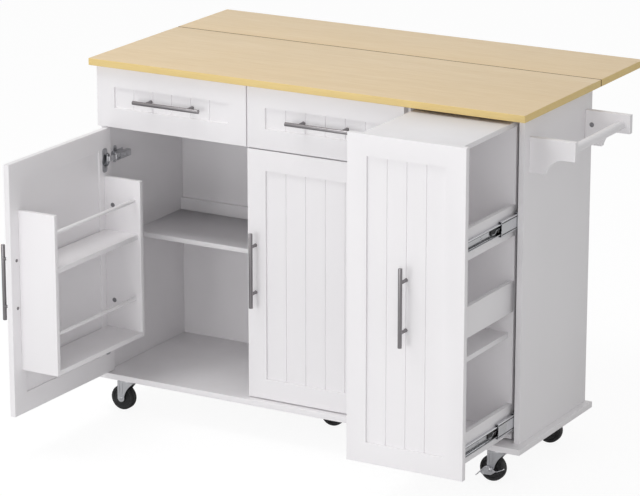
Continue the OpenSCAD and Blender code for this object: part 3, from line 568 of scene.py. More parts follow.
def srgb(red: float, green: float, blue: float) -> Colour:
    """A colour from its display values.

    Args:
        red: 0 to 255.
        green: 0 to 255.
        blue: 0 to 255.

    Returns:
        The linear colour.
    """
    shown = np.array([red, green, blue]) / 255
    linear = np.where(shown <= 0.04045, shown / 12.92, ((shown + 0.055) / 1.055) ** 2.4)
    return tuple(float(value) for value in linear)


class Wiring:
    """Adds nodes to one shader tree and joins their sockets."""

    def __init__(self, tree: bpy.types.NodeTree) -> None:
        """Works on the given tree."""
        self.tree = tree

    def feed(self, node: bpy.types.Node, inputs: dict) -> bpy.types.Node:
        """Gives a node's inputs what they take.

        Args:
            node: the node.
            inputs: a socket or a value for each input, by name or number.

        Returns:
            The node.
        """
        for key, value in inputs.items():
            if isinstance(value, Socket):
                self.tree.links.new(value, node.inputs[key])
            else:
                node.inputs[key].default_value = value
        return node

    def add(self, kind: str, inputs: dict | None = None, **settings: object) -> bpy.types.Node:
        """Adds a node.

        Args:
            kind: the node's type, without its ShaderNode prefix.
            inputs: what its inputs take.
            settings: the node's own properties.

        Returns:
            The node.
        """
        node = self.tree.nodes.new("ShaderNode" + kind)
        for key, value in settings.items():
            setattr(node, key, value)
        return self.feed(node, inputs or {})

    def effect(self, name: str, inputs: dict) -> bpy.types.Node:
        """Places one of the shared groups."""
        return self.add("Group", inputs, node_tree=GROUPS[name])

    def sum_of(self, first: Value, second: Value) -> Socket:
        """Two values added."""
        return self.add("Math", {0: first, 1: second}, operation="ADD").outputs[0]

    def product(self, first: Value, second: Value) -> Socket:
        """Two values multiplied."""
        return self.add("Math", {0: first, 1: second}, operation="MULTIPLY").outputs[0]

    def larger(self, first: Value, second: Value) -> Socket:
        """The larger of two values."""
        return self.add("Math", {0: first, 1: second}, operation="MAXIMUM").outputs[0]

    def stretched(self, vector: Socket, scale: Point) -> Socket:
        """Coordinates multiplied by a scale for each axis."""
        return self.add("VectorMath", {0: vector, 1: scale}, operation="MULTIPLY").outputs[0]

    def noise(self, vector: Socket, scale: Value, detail: float = 3.0, rough: float = 0.5) -> Socket:
        """Fractal noise from 0 to 1."""
        values = {"Vector": vector, "Scale": scale, "Detail": detail, "Roughness": rough}
        return self.add("TexNoise", values).outputs["Fac"]

    def spread(self, value: Socket, low: float, high: float, to_low: float = 0.0,
               to_high: float = 1.0) -> Socket:
        """A value's range from low to high, spread over another range and clamped."""
        ranges = {"Value": value, "From Min": low, "From Max": high, "To Min": to_low, "To Max": to_high}
        return self.add("MapRange", ranges).outputs[0]

    def blended(self, share: Value, first: Socket | Colour, second: Socket | Colour) -> Socket:
        """A mix of two colours."""
        colours = [(*value, 1.0) if isinstance(value, tuple) else value for value in (first, second)]
        return self.add("Mix", {0: share, 6: colours[0], 7: colours[1]}, data_type="RGBA").outputs[2]

    def bump(self, height: Socket, strength: float, distance: float) -> Socket:
        """A normal from a height."""
        values = {"Height": height, "Strength": strength, "Distance": distance}
        return self.add("Bump", values).outputs["Normal"]


def new_group(name: str, inputs: dict[str, float | None],
              outputs: Sequence[str]) -> tuple[Wiring, dict[str, Socket], bpy.types.Node]:
    """Starts a node group.

    Args:
        name: the group's name.
        inputs: the default of each value input, or None for a vector.
        outputs: names of the value outputs.

    Returns:
        The group's wiring, its inputs as sockets by name, and its output node.
    """
    tree = bpy.data.node_groups.new(name, "ShaderNodeTree")
    for title, default in inputs.items():
        kind = "NodeSocketVector" if default is None else "NodeSocketFloat"
        socket = tree.interface.new_socket(name=title, in_out="INPUT", socket_type=kind)
        if default is not None:
            socket.default_value = default
    for title in outputs:
        tree.interface.new_socket(name=title, in_out="OUTPUT", socket_type="NodeSocketFloat")
    start, end = tree.nodes.new("NodeGroupInput"), tree.nodes.new("NodeGroupOutput")
    return Wiring(tree), {socket.name: socket for socket in start.outputs if socket.name}, end


def fibre_group() -> bpy.types.NodeTree:
    """Straight fibres along X: broad streaks, and fine lines between them.

    The coordinates waver a little sideways and are squeezed along X before the noise.

    Returns:
        The group, with the outputs Streaks and Lines from 0 to 1.
    """
    wiring, given, end = new_group("straight_fibres", {"Vector": None, "Broad": 20.0, "Fine": 260.0},
                                   ["Streaks", "Lines"])
    waver = wiring.product(wiring.noise(given["Vector"], 1.7, 2.0), 0.02)
    sideways = wiring.add("CombineXYZ", {"Y": waver}).outputs[0]
    bent = wiring.add("VectorMath", {0: given["Vector"], 1: sideways}, operation="ADD").outputs[0]
    along = wiring.stretched(bent, (0.045, 1.0, 1.0))
    broad = wiring.noise(along, given["Broad"], 4.0, 0.6)
    fine = wiring.noise(along, given["Fine"], 3.0, 0.55)
    wiring.feed(end, {"Streaks": wiring.spread(broad, 0.3, 0.7), "Lines": wiring.spread(fine, 0.35, 0.72)})
    return wiring.tree


def sprayed_group() -> bpy.types.NodeTree:
    """A sprayed or moulded skin: slow drift of shade, and a fine uneven height.

    Returns:
        The group, with the outputs Drift and Skin from 0 to 1.
    """
    wiring, given, end = new_group("sprayed_skin", {"Vector": None, "Drift scale": 4.0, "Skin scale": 500.0},
                                   ["Drift", "Skin"])
    drift = wiring.noise(given["Vector"], given["Drift scale"])
    skin = wiring.noise(given["Vector"], given["Skin scale"], 2.0)
    wiring.feed(end, {"Drift": wiring.spread(drift, 0.3, 0.7), "Skin": wiring.spread(skin, 0.3, 0.7)})
    return wiring.tree


def brushed_group() -> bpy.types.NodeTree:
    """Hairlines of brushed or rolled metal, along the squeezed axis of the coordinates.

    Returns:
        The group, with the outputs Hairlines and Smudges from 0 to 1.
    """
    wiring, given, end = new_group("brushed_hairlines", {"Vector": None, "Hairline scale": 900.0},
                                   ["Hairlines", "Smudges"])
    hair = wiring.noise(given["Vector"], given["Hairline scale"], 2.0)
    smudge = wiring.noise(given["Vector"], 30.0, 4.0)
    wiring.feed(end, {"Hairlines": wiring.spread(hair, 0.3, 0.7), "Smudges": wiring.spread(smudge, 0.4, 0.7)})
    return wiring.tree


def dust_group() -> bpy.types.NodeTree:
    """Dust that settles on what looks up.

    Returns:
        The group, with the output Dust from 0 to 1.
    """
    wiring, given, end = new_group("settled_dust", {"Vector": None, "Amount": 0.1}, ["Dust"])
    normal = wiring.add("NewGeometry").outputs["Normal"]
    up = wiring.spread(wiring.add("SeparateXYZ", {0: normal}).outputs["Z"], 0.6, 1.0)
    cloud = wiring.spread(wiring.noise(given["Vector"], 9.0, 5.0, 0.65), 0.35, 0.75)
    wiring.feed(end, {"Dust": wiring.product(wiring.product(up, cloud), given["Amount"])})
    return wiring.tree


GROUPS = {"fibres": fibre_group(), "skin": sprayed_group(), "brushed": brushed_group(), "dust": dust_group()}
DUST_COLOUR = srgb(205, 200, 193)


@dataclass(frozen=True)
class Finish:
    """What every finish has: a name, a colour and a roughness, over Object coordinates."""

    name: str
    colour: Colour
    roughness: float = 0.4

    def material(self) -> bpy.types.Material:
        """Makes the material.

        Returns:
            The material, its Principled BSDF fed by the finish's own nodes.
        """
        made = bpy.data.materials.new(self.name)
        made.use_nodes = True
        made.diffuse_color = (*self.colour, 1.0)
        wiring = Wiring(made.node_tree)
        place = wiring.add("TexCoord").outputs["Object"]
        wiring.feed(made.node_tree.nodes["Principled BSDF"], self.surface(wiring, place))
        return made

    def surface(self, wiring: Wiring, place: Socket) -> dict[str, Value]:
        """What the finish feeds to the shader; each kind of finish has its own."""
        raise NotImplementedError


@dataclass(frozen=True)
class LacquerFinish(Finish):
    """White satin lacquer: a slow drift of shade, a sprayed skin and a trace of dust."""

    drift: float = 0.025
    dust: float = 0.1

    def surface(self, wiring: Wiring, place: Socket) -> dict[str, Value]:
        """The lacquer's nodes.

        Args:
            wiring: the material's wiring.
            place: Object coordinates.

        Returns:
            What the shader's inputs take.
        """
        skin = wiring.effect("skin", {"Vector": place, "Drift scale": 3.5, "Skin scale": 420.0}).outputs
        dust = wiring.effect("dust", {"Vector": place, "Amount": self.dust}).outputs["Dust"]
        darker = tuple(value * (1 - self.drift) for value in self.colour)
        clean = wiring.blended(skin["Drift"], darker, self.colour)
        dusty = wiring.blended(dust, clean, DUST_COLOUR)
        rough = wiring.spread(skin["Skin"], 0.0, 1.0, self.roughness - 0.04, self.roughness + 0.06)
        return {"Base Color": dusty, "Roughness": wiring.sum_of(rough, wiring.product(dust, 0.8)),
                "Normal": wiring.bump(skin["Skin"], 0.12, 0.0002)}


@dataclass(frozen=True)
class WoodFinish(Finish):
    """Pale straight-grained wood under a satin coat, the grain along X."""

    streak: Colour = (0.5, 0.4, 0.3)
    line: Colour = (0.4, 0.3, 0.2)
    strength: float = 0.5

    def surface(self, wiring: Wiring, place: Socket) -> dict[str, Value]:
        """The wood's nodes.

        Args:
            wiring: the material's wiring.
            place: Object coordinates.

        Returns:
            What the shader's inputs take.
        """
        fibres = wiring.effect("fibres", {"Vector": place, "Broad": 24.0, "Fine": 330.0}).outputs
        skin = wiring.effect("skin", {"Vector": place, "Drift scale": 2.2, "Skin scale": 300.0}).outputs
        dust = wiring.effect("dust", {"Vector": place, "Amount": 0.05}).outputs["Dust"]
        broad = wiring.product(fibres["Streaks"], self.strength)
        streaked = wiring.blended(broad, self.colour, self.streak)
        fine = wiring.product(fibres["Lines"], self.strength * 0.7)
        lined = wiring.blended(fine, streaked, self.line)
        drifted = wiring.blended(wiring.product(skin["Drift"], 0.22), lined, self.streak)
        dusty = wiring.blended(dust, drifted, DUST_COLOUR)
        rough = wiring.spread(fibres["Lines"], 0.0, 1.0, self.roughness, self.roughness + 0.12)
        return {"Base Color": dusty, "Roughness": rough, "Normal": wiring.bump(fibres["Lines"], 0.12, 0.0001)}


@dataclass(frozen=True)
class MetalFinish(Finish):
    """Plated or brushed metal with hairlines along one axis and faint smudges."""

    along: Axis = Axis.Z
    hairline: float = 0.25
    squeeze: float = 0.03

    def surface(self, wiring: Wiring, place: Socket) -> dict[str, Value]:
        """The metal's nodes.

        Args:
            wiring: the material's wiring.
            place: Object coordinates.

        Returns:
            What the shader's inputs take.
        """
        drawn = wiring.stretched(place, tuple(self.squeeze if axis is self.along else 1.0 for axis in Axis))
        brushed = wiring.effect("brushed", {"Vector": drawn, "Hairline scale": 1100.0}).outputs
        dark = tuple(value * 0.8 for value in self.colour)
        share = wiring.product(brushed["Hairlines"], self.hairline)
        mixed = wiring.blended(share, self.colour, dark)
        rough = wiring.spread(brushed["Smudges"], 0.0, 1.0, self.roughness, self.roughness + 0.1)
        return {"Base Color": mixed, "Roughness": rough, "Metallic": 1.0,
                "Normal": wiring.bump(brushed["Hairlines"], self.hairline * 0.5, 0.00005)}


@dataclass(frozen=True)
class MouldedFinish(Finish):
    """Moulded plastic: a fine matt skin, scuffed paler and greyed by dust."""

    skin_scale: float = 900.0

    def surface(self, wiring: Wiring, place: Socket) -> dict[str, Value]:
        """The plastic's nodes.

        Args:
            wiring: the material's wiring.
            place: Object coordinates.

        Returns:
            What the shader's inputs take.
        """
        scales = {"Drift scale": 40.0, "Skin scale": self.skin_scale}
        skin = wiring.effect("skin", {"Vector": place, **scales}).outputs
        dust = wiring.effect("dust", {"Vector": place, "Amount": 0.05}).outputs["Dust"]
        paler = tuple(value * 1.8 + 0.002 for value in self.colour)
        scuffed = wiring.blended(wiring.product(skin["Drift"], 0.35), self.colour, paler)
        dusty = wiring.blended(dust, scuffed, DUST_COLOUR)
        rough = wiring.spread(skin["Skin"], 0.0, 1.0, self.roughness, self.roughness + 0.12)
        return {"Base Color": dusty, "Roughness": rough, "Normal": wiring.bump(skin["Skin"], 0.3, 0.0001)}


@dataclass(frozen=True)
class Palette:
    """The island's materials, each made once."""

    lacquer: bpy.types.Material
    foil: bpy.types.Material
    top: bpy.types.Material
    edge: bpy.types.Material
    # The seam finish is a dark brown that is partly painted shade of the gap between worktop and leaf.
    seam: bpy.types.Material
    satin_x: bpy.types.Material
    satin_z: bpy.types.Material
    zinc: bpy.types.Material
    bright: bpy.types.Material
    dark_metal: bpy.types.Material
    tread: bpy.types.Material
    moulding: bpy.types.Material

    @classmethod
    def mixed(cls) -> Palette:
        """Makes every material of the island.

        Returns:
            The palette.
        """
        steel = srgb(140, 137, 139)
        wood, wood_streak, wood_line = srgb(239, 215, 176), srgb(226, 198, 152), srgb(212, 182, 134)
        # The seam edge's dark browns are partly the unbanded wood and partly painted shade of the gap between
        # worktop and leaf.
        seam_shade_tone, seam_shade_streak, seam_shade_line = srgb(136, 106, 70), srgb(112, 84, 54), srgb(92, 68, 42)
        band, band_streak, band_line = srgb(238, 212, 146), srgb(226, 196, 128), srgb(214, 182, 112)
        return cls(
            lacquer=LacquerFinish("white_lacquer", srgb(243, 241, 243), 0.4).material(),
            foil=LacquerFinish("drawer_foil", srgb(232, 231, 231), 0.55, drift=0.04, dust=0.2).material(),
            top=WoodFinish("worktop_wood", wood, 0.42, wood_streak, wood_line, 0.45).material(),
            seam=WoodFinish("bare_edge", seam_shade_tone, 0.7, seam_shade_streak, seam_shade_line, 0.5).material(),
            edge=WoodFinish("edge_band", band, 0.45, band_streak, band_line, 0.4).material(),
            satin_x=MetalFinish("satin_steel_x", steel, 0.3, Axis.X, 0.35).material(),
            satin_z=MetalFinish("satin_steel_z", steel, 0.3, Axis.Z, 0.35).material(),
            zinc=MetalFinish("zinc_plate", srgb(190, 191, 194), 0.28, Axis.Y, 0.25).material(),
            bright=MetalFinish("polished_zinc", srgb(214, 215, 218), 0.2, Axis.Y, 0.15).material(),
            dark_metal=MetalFinish("dark_zinc", srgb(146, 146, 149), 0.4, Axis.Y, 0.3).material(),
            tread=MouldedFinish("wheel_tread", srgb(20, 20, 22), 0.5).material(),
            moulding=MouldedFinish("black_moulding", srgb(18, 18, 20), 0.38, 1200.0).material(),
        )


# ---- Cabinet ----


@dataclass(frozen=True)
class CabinetBody:
    """The fixed boards of the cabinet, the worktop and what hangs on them."""

    board_t: float = 15.0
    shelf_t: float = 12.0
    top_ease: float = 1.6
    flat_over: float = 0.6
    seam_over: float = 0.2
    peg_r: float = 2.5
    peg_ease: float = 1.2
    peg_out: float = 9.0
    peg_in: float = 8.0
    peg_front: float = 30.0
    peg_back: float = 60.0
    cam_r: float = 6.0

    def worktop(self, node: str, name: str, seam: int, palette: Palette) -> None:
        """A wood board with an edge band on its outer narrow faces and a darker, unbanded edge at the seam,
        whose tone is partly painted shade of the gap.

        A face is flat where its normal's height is over flat_over, and lies at the seam where its
        normal points that way by more than seam_over.

        Args:
            node: the CAD board.
            name: the piece's name.
            seam: 1 where the seam is at the board's high Y, -1 at its low Y.
            palette: the island's materials.
        """
        box = Box.of(node)
        mesh = joined_mesh(name, [board(box.lo, box.hi, self.top_ease, 4)])
        normals = np.empty(len(mesh.polygons) * 3, np.float32)
        mesh.polygons.foreach_get("normal", normals)
        normals = normals.reshape(-1, 3)
        kind = np.where(abs(normals[:, 2]) > self.flat_over, 0, 1)
        # Faces at the seam take the darkened edge finish, partly painted shade of the gap.
        kind[normals[:, 1] * seam > self.seam_over] = 2
        dressed(name, node, mesh, palette.top, palette.edge, palette.seam)
        mesh.polygons.foreach_set("material_index", kind.astype(np.int32))

    def panels(self, palette: Palette) -> None:
        """Side panels, divider, back and base.

        Args:
            palette: the island's materials.
        """
        for node in ("side_left", "side_right", "divider", "back_panel", "base_board"):
            box = Box.of(node)
            dressed(node + "_board", node, [board(box.lo, box.hi)], palette.lacquer)

    def drawer_deck(self, palette: Palette) -> None:
        """The deck under the drawers, and the upright board between them.

        Args:
            palette: the island's materials.
        """
        deck = Box.of("drawer_deck")
        face, x, half = deck.lo[2] + self.board_t, deck.middle()[0], self.board_t / 2
        flat = board(deck.lo, (deck.hi[0], deck.hi[1], face))
        upright = board((x - half, deck.lo[1], face), (x + half, deck.hi[1], deck.hi[2]))
        dressed("drawer_deck_boards", "drawer_deck", [flat, upright], palette.lacquer)

    def inner_shelf(self, palette: Palette) -> None:
        """The shelf behind the doors, and the rail along its back.

        Args:
            palette: the island's materials.
        """
        shelf = Box.of("shelf")
        face = shelf.lo[2] + self.shelf_t
        flat = board(shelf.lo, (shelf.hi[0], shelf.hi[1], face))
        rail = board((shelf.lo[0], shelf.hi[1] - self.shelf_t, face), shelf.hi)
        dressed("shelf_boards", "shelf", [flat, rail], palette.lacquer)

    def pegs(self) -> list[Shell]:
        """Four shelf pegs with round noses, in the left side and in the divider.

        Returns:
            The pegs' shells.
        """
        shelf, back = Box.of("shelf"), Box.of("back_panel")
        walls = ((Box.of("side_left").hi[0], 1), (Box.of("divider").lo[0], -1))
        z = shelf.lo[2] - self.peg_r
        nose = rod_profile(self.peg_r, -self.peg_in, self.peg_out, self.peg_ease)
        return [turned(nose * [1, way], (x, y, z), Axis.X, 24)
                for y in (shelf.lo[1] + self.peg_front, back.lo[1] - self.peg_back) for x, way in walls]

    def bracket_cams(self) -> list[Shell]:
        """The cams in the inner faces of the towel brackets.

        Returns:
            The cams' shells.
        """
        brackets, every = Box.of("towel_brackets"), Box.of("fasteners")
        x, z = every.hi[0] - self.cam_r, every.hi[2] - self.cam_r
        faces = ((brackets.lo[1] + self.board_t, 1), (brackets.hi[1] - self.board_t, -1))
        return [shell for y, way in faces for shell in cam_disc((x, y, z), Axis.Y, way, self.cam_r)]

    def build(self, palette: Palette) -> None:
        """Makes the fixed cabinet.

        Args:
            palette: the island's materials.
        """
        self.worktop("countertop", "worktop_board", 1, palette)
        self.panels(palette)
        self.drawer_deck(palette)
        self.inner_shelf(palette)
        dressed("pegs_and_cams", "fasteners", [*self.pegs(), *self.bracket_cams()], palette.dark_metal)


def cam_disc(centre: Sequence[float], axis: Axis, way: int, radius: float) -> list[Shell]:
    """A cam let into a board: a rim, and a cross-slotted disc just inside it.

    Args:
        centre: middle of the cam on the board's face.
        axis: direction of the cam.
        way: 1 where it looks along the axis, -1 where it looks back.
        radius: radius of the cam.

    Returns:
        The cam's shells.
    """
    inside, deep = radius - 1.1, 2.0
    rim = np.array([(inside, -deep), (radius, -deep), (radius, 0.25), (radius - 0.4, 0.45), (inside, 0.3)])
    loop = hoop(rim * [1, way], centre, axis, 36)
    plug = turned(rod_profile(inside, -way * 3.0, way * 0.05, 0.02), centre, axis, 36)
    return [loop, plug, screw_head(centre, axis, way, radius - 1.2, 0.35, 1.4)]


@dataclass(frozen=True)
class TowelRail:
    """Two shaped brackets and the round rail between them."""

    thickness: float = 15.0
    tip: float = 46.5
    hollow: float = 46.0
    foot: float = 28.0
    bracket_ease: float = 1.0
    rail_ease: float = 0.6

    def outline(self, box: Box) -> Array:
        """A bracket's outline: a block whose underside curves up to its outer foot.

        Args:
            box: the brackets' box.

        Returns:
            Points of x and z.
        """
        x0, x1, low, top = box.lo[0], box.hi[0], box.lo[2], box.hi[2]
        centre = (x1 - self.foot, top - self.tip - self.hollow)
        start = math.degrees(math.asin((low - centre[1]) / self.hollow))
        curve = arc(centre, self.hollow, 90, 180 - start, 20)
        corners = np.array([(x0, low), (x0, top), (x1, top), (x1, top - self.tip)])
        return np.concatenate([corners, curve])

    def build(self, palette: Palette) -> None:
        """Makes the brackets and the rail.

        Args:
            palette: the island's materials.
        """
        box, rail = Box.of("towel_brackets"), Box.of("towel_rail")
        outline, t = self.outline(box), self.thickness
        ends = ((box.lo[1], box.lo[1] + t), (box.hi[1] - t, box.hi[1]))
        dressed("towel_bracket_pair", "towel_brackets", [prism(outline, a, b, Axis.Y) for a, b in ends],
                palette.lacquer, round_by=self.bracket_ease)
        x, _, z = rail.middle()
        profile = rod_profile((rail.hi[0] - rail.lo[0]) / 2, rail.lo[1], rail.hi[1], self.rail_ease)
        dressed("towel_rod", "towel_rail", [turned(profile, (x, 0, z), Axis.Y, 48)], palette.lacquer)


# ---- Fronts and handles ----


@dataclass(frozen=True)
class Handle:
    """A bar handle on two posts with small feet, and its screws behind the front."""

    bar_len: float = 190.0
    bar_r: float = 5.0
    bar_ease: float = 0.7
    post_gap: float = 120.0
    post_r: float = 4.0
    foot_r: float = 4.6
    foot_h: float = 1.2
    flare: float = 1.0
    sunk: float = 0.2
    out: float = 24.0
    nut_r: float = 4.0
    nut_h: float = 1.8

    def shells(self, middle: Sequence[float], axis: Axis, seat: float, nut: float) -> list[Shell]:
        """The handle's shells.

        Args:
            middle: where the handle's middle meets the front: across, the face's depth, height.
            axis: the way the bar lies, X or Z.
            seat: depth of the surface that the posts stand on.
            nut: depth of the surface that the screws' heads lie on.

        Returns:
            The bar, the posts and the screws' heads.
        """
        centre = np.array([middle[0], middle[1] - self.out, middle[2]])
        bar = rod_profile(self.bar_r, -self.bar_len / 2, self.bar_len / 2, self.bar_ease)
        shells = [turned(bar, centre, axis, 40)]
        reach = seat - centre[1]
        foot, end = reach - self.foot_h, reach + self.sunk
        profile = [(0, 0), (self.post_r, 0), (self.post_r, foot - self.flare), (self.foot_r, foot),
                   (self.foot_r, end), (0, end)]
        for side in (-1, 1):
            post = centre.copy()
            post[axis.value] += side * self.post_gap / 2
            shells.append(turned(profile, post, Axis.Y, 28))
            shells.append(screw_head((post[0], nut, post[2]), Axis.Y, 1, self.nut_r, self.nut_h, 1.0))
        return shells


@dataclass(frozen=True)
class FrontStyle:
    """Section sizes that all fronts share."""

    thickness: float = 15.0
    stile: float = 51.0
    recess: float = 5.0
    panel_t: float = 6.0
    tongue: float = 8.0
    play: float = 0.2
    ease: float = 1.1
    inner_ease: float = 0.7
    wall: float = 0.4
    bead_gap: float = 2.8
    bead_deep: float = 2.4

    def stile_profile(self) -> Array:
        """The section of a stile with a groove for the panel.

        Quarter circles ease the four outer corners, and the groove is a plain slot.

        Returns:
            Rows of inset and depth, in turn.
        """
        deep, wide, e, f = self.thickness, self.stile, self.ease, self.inner_ease
        slot = wide - self.tongue - self.play
        front, rear = self.recess - self.play, self.recess + self.panel_t + self.play
        groove = np.array([(wide, front), (slot, front), (slot, rear), (wide, rear)])
        return np.concatenate([
            arc((e, e), e, 180, 270, 4), arc((wide - f, f), f, 270, 360, 3), groove,
            arc((wide - f, deep - f), f, 0, 90, 3), arc((f, deep - f), f, 90, 180, 3)])

    def groove_lines(self, start: float, end: float, beads: int) -> tuple[Array, Array]:
        """Grid lines and depths of the grooves between beads.

        A groove's depth is bead_deep * (1 + cos(2 pi s)) / 2, where s goes from -1/2 to 1/2
        across its width.

        Args:
            start: where the beads start.
            end: where they end.
            beads: how many there are.

        Returns:
            The lines and the depth at each.
        """
        share = np.linspace(-0.5, 0.5, 9)
        middle = start + (end - start) * np.arange(1, beads) / beads
        lines = (middle[:, None] + share[None, :] * self.bead_gap).ravel()
        depths = np.tile(self.bead_deep * (1 + np.cos(2 * np.pi * share)) / 2, beads - 1)
        return lines, depths

    def panel(self, width: float, height: float, beads: int) -> Shell:
        """The beaded panel that sits in the frame's groove.

        Args:
            width: width of the whole front.
            height: height of the whole front.
            beads: number of beads.

        Returns:
            The panel, in the front's own frame.
        """
        edge = self.stile - self.tongue
        lines, depths = self.groove_lines(self.stile, width - self.stile, beads)
        x = np.concatenate([[edge], lines, [width - edge]])
        depth = self.recess + np.concatenate([[0], depths, [0]])
        z = np.array([edge, height - edge])
        return relief(x, z, np.repeat(depth[:, None], 2, 1), self.recess + self.panel_t, 0.3)

    def routed(self, width: float, height: float, beads: int) -> Shell:
        """A front routed out of one board.

        With d the distance from the nearest edge, the depth is a quarter circle over the first
        ease, zero on the stiles, then falls over the wall to the recess, where grooves add to it.

        Args:
            width: width of the front.
            height: height of the front.
            beads: number of beads.

        Returns:
            The board, in the front's own frame.
        """
        quarter = self.ease * (1 - np.cos(np.radians(np.linspace(0, 90, 5))))
        near = np.concatenate([quarter, [self.stile - self.wall, self.stile, self.stile + self.wall]])
        lines, extra = self.groove_lines(self.stile, width - self.stile, beads)
        x = np.concatenate([near, lines, (width - near)[::-1]])
        grooves = np.concatenate([np.zeros(len(near)), extra, np.zeros(len(near))])
        z = np.concatenate([near, (height - near)[::-1]])
        from_x, from_z = np.minimum(x, width - x)[:, None], np.minimum(z, height - z)[None, :]
        inset = np.hypot(np.maximum(self.ease - from_x, 0), np.maximum(self.ease - from_z, 0))
        rim = self.ease - np.sqrt(np.maximum(self.ease**2 - inset**2, 0))
        inside = np.clip((np.minimum(from_x, from_z) - self.stile + self.wall / 2) / self.wall, 0, 1)
        depth = rim + inside * self.recess + (inside >= 1) * grooves[:, None]
        return relief(x, z, depth, self.thickness, self.inner_ease)


STYLE = FrontStyle()


@dataclass(frozen=True)
class ConcealedHinge:
    """A cup hinge with its arm, drawn from the door's hinge edge and inner face."""

    pivot_door: tuple[float, float] = (11.5, -3.0)
    pivot_arm: tuple[float, float] = (36.5, 10.5)
    neck: tuple[tuple[float, float], ...] = ((17.5, -6.0), (22.5, -1.5), (26.0, 2.5))
    cup_in: float = 22.5
    cup_r: float = 17.4
    cup_deep: float = 11.0
    cup_fit: float = 0.1
    rim_w: float = 1.2
    wall: float = 1.2
    wing_t: float = 1.1
    pin_r: float = 1.5
    cup_pin_half: float = 12.6
    arm_pin_half: float = 9.3
    link_h: float = 13.0
    link_t: float = 2.0
    eye_r: float = 3.0
    high: float = 8.5
    ear: float = 7.0
    ear_r: float = 4.0
    arm_t: float = 1.5
    arm_foot: float = 30.6
    arm_start: float = 24.0
    arm_end: float = 70.0
    screw_in: float = 28.0
    screw_off: float = 24.0
    plate_start: float = 20.0
    plate_y: float = 35.0
    plate_off: float = 16.0
    plate_t: float = 2.5

    def cup(self) -> list[Shell]:
        """The cup with its flange, two rounded wings, screws and the link's pin.

        Returns:
            The shells, in the hinge's own frame.
        """
        inside, floor = self.cup_r - self.wall, self.wall - self.cup_deep
        skin, base, rim = self.cup_r - self.cup_fit, self.cup_fit - self.cup_deep, self.cup_r + self.rim_w
        bowl = [(0, floor), (inside - 2.5, floor), (inside - 0.8, floor + 0.7), (inside, floor + 2.4),
                (inside, self.wall - 0.2), (inside + 0.3, self.wall), (rim - 0.2, self.wall),
                (rim, self.wall - 0.3), (rim, 0.02), (skin, 0.0), (skin, base + 1.9), (skin - 1.9, base),
                (0, base)]
        shells = [turned(bowl, (self.cup_in, 0, 0), Axis.Y, 56)]
        for side in (-1, 1):
            shells.append(prism(self.wing_outline() * [1, side], 0, self.wing_t, Axis.Y))
            seat = (self.screw_in, self.wing_t, side * self.screw_off)
            shells.append(screw_head(seat, Axis.Y, 1, 4.2, 1.2, 1.2, 45))
        pin = rod_profile(self.pin_r, -self.cup_pin_half, self.cup_pin_half, 0.3)
        shells.append(turned(pin, (*self.pivot_door, 0), Axis.Z, 20))
        return shells

    def wing_outline(self) -> Array:
        """One wing of the cup: an arc along the flange, and a rounded outer end.

        Returns:
            Points of x and z.
        """
        left, right, top, corner = 17.5, 38.5, 31.0, 8.0
        first = math.degrees(math.acos((right - self.cup_in) / self.cup_r))
        last = math.degrees(math.acos((left - self.cup_in) / self.cup_r))
        flange = arc((self.cup_in, 0), self.cup_r, first, last, 14)
        ends = [arc((left + corner, top - corner), corner, 180, 90, 8),
                arc((right - corner, top - corner), corner, 90, 0, 8)]
        return np.concatenate([flange, *ends])

    def link(self) -> list[Shell]:
        """The gooseneck link: a bent strip between two eyes.

        Returns:
            The shells, in the hinge's own frame, door shut.
        """
        path = filleted([self.pivot_door, *self.neck, self.pivot_arm], 2.2)
        half = self.link_h / 2
        strip = prism(strip_outline(path, self.link_t), 0.2 - half, half - 0.2, Axis.Z)
        eye = rod_profile(self.eye_r, -half, half, 0.4)
        return [strip, *[turned(eye, (*pivot, 0), Axis.Z, 24) for pivot in (self.pivot_door, self.pivot_arm)]]

    def arm(self, wall_x: float) -> list[Shell]:
        """The arm's channel, its ears, the block under it and the winged plate on the wall.

        Args:
            wall_x: where the board lies that the plate is screwed to.

        Returns:
            The shells, in the hinge's own frame.
        """
        web, half = self.pivot_arm[0] + self.ear_r, self.arm_t / 2
        top, foot = self.high - half, self.arm_foot
        channel = filleted([(foot, top), (web + half, top), (web + half, -top), (foot, -top)], 1.6)
        shells = [prism(strip_outline(channel, self.arm_t), self.arm_start, self.arm_end, Axis.Y)]
        ear_end = self.arm_start + 2
        ear = np.concatenate([arc(self.pivot_arm, self.ear_r, 180, 360, 12),
                              [(web, ear_end), (foot, ear_end), (foot, 19)]])
        for side in (-1, 1):
            shells.append(prism(ear, side * self.ear, side * self.high, Axis.Z))
        pin = rod_profile(self.pin_r + 0.6, -self.arm_pin_half, self.arm_pin_half, 0.4)
        shells.append(turned(pin, (*self.pivot_arm, 0), Axis.Z, 20))
        shells.append(board((wall_x, 30, -self.ear), (web, 60, self.ear), 1.0))
        face = wall_x + self.plate_t
        shells.append(prism(self.plate_outline(), wall_x, face, Axis.X))
        for side in (-1, 1):
            seat = (face, self.plate_y, side * self.plate_off)
            shells.append(screw_head(seat, Axis.X, 1, 4.0, 1.2, 1.1, 45))
        for y, radius in ((36.0, 3.2), (52.0, 4.2)):
            shells.append(screw_head((web + self.arm_t, y, 0), Axis.X, 1, radius, 0.9, 1.0, 45))
        return shells

    def plate_outline(self) -> Array:
        """The wall plate: a long body crossed by two round wings.

        Returns:
            Points of y and z.
        """
        half, tip, wing = 8.5, 22.0, 7.0
        upper = np.concatenate([[(self.arm_end, half), (self.plate_y + wing, half)],
                                arc((self.plate_y, tip - wing), wing, 0, 180, 12),
                                [(self.plate_y - wing, half), (self.plate_start, half)]])
        return np.concatenate([upper, upper[::-1] * [1, -1]])


HINGE = ConcealedHinge()


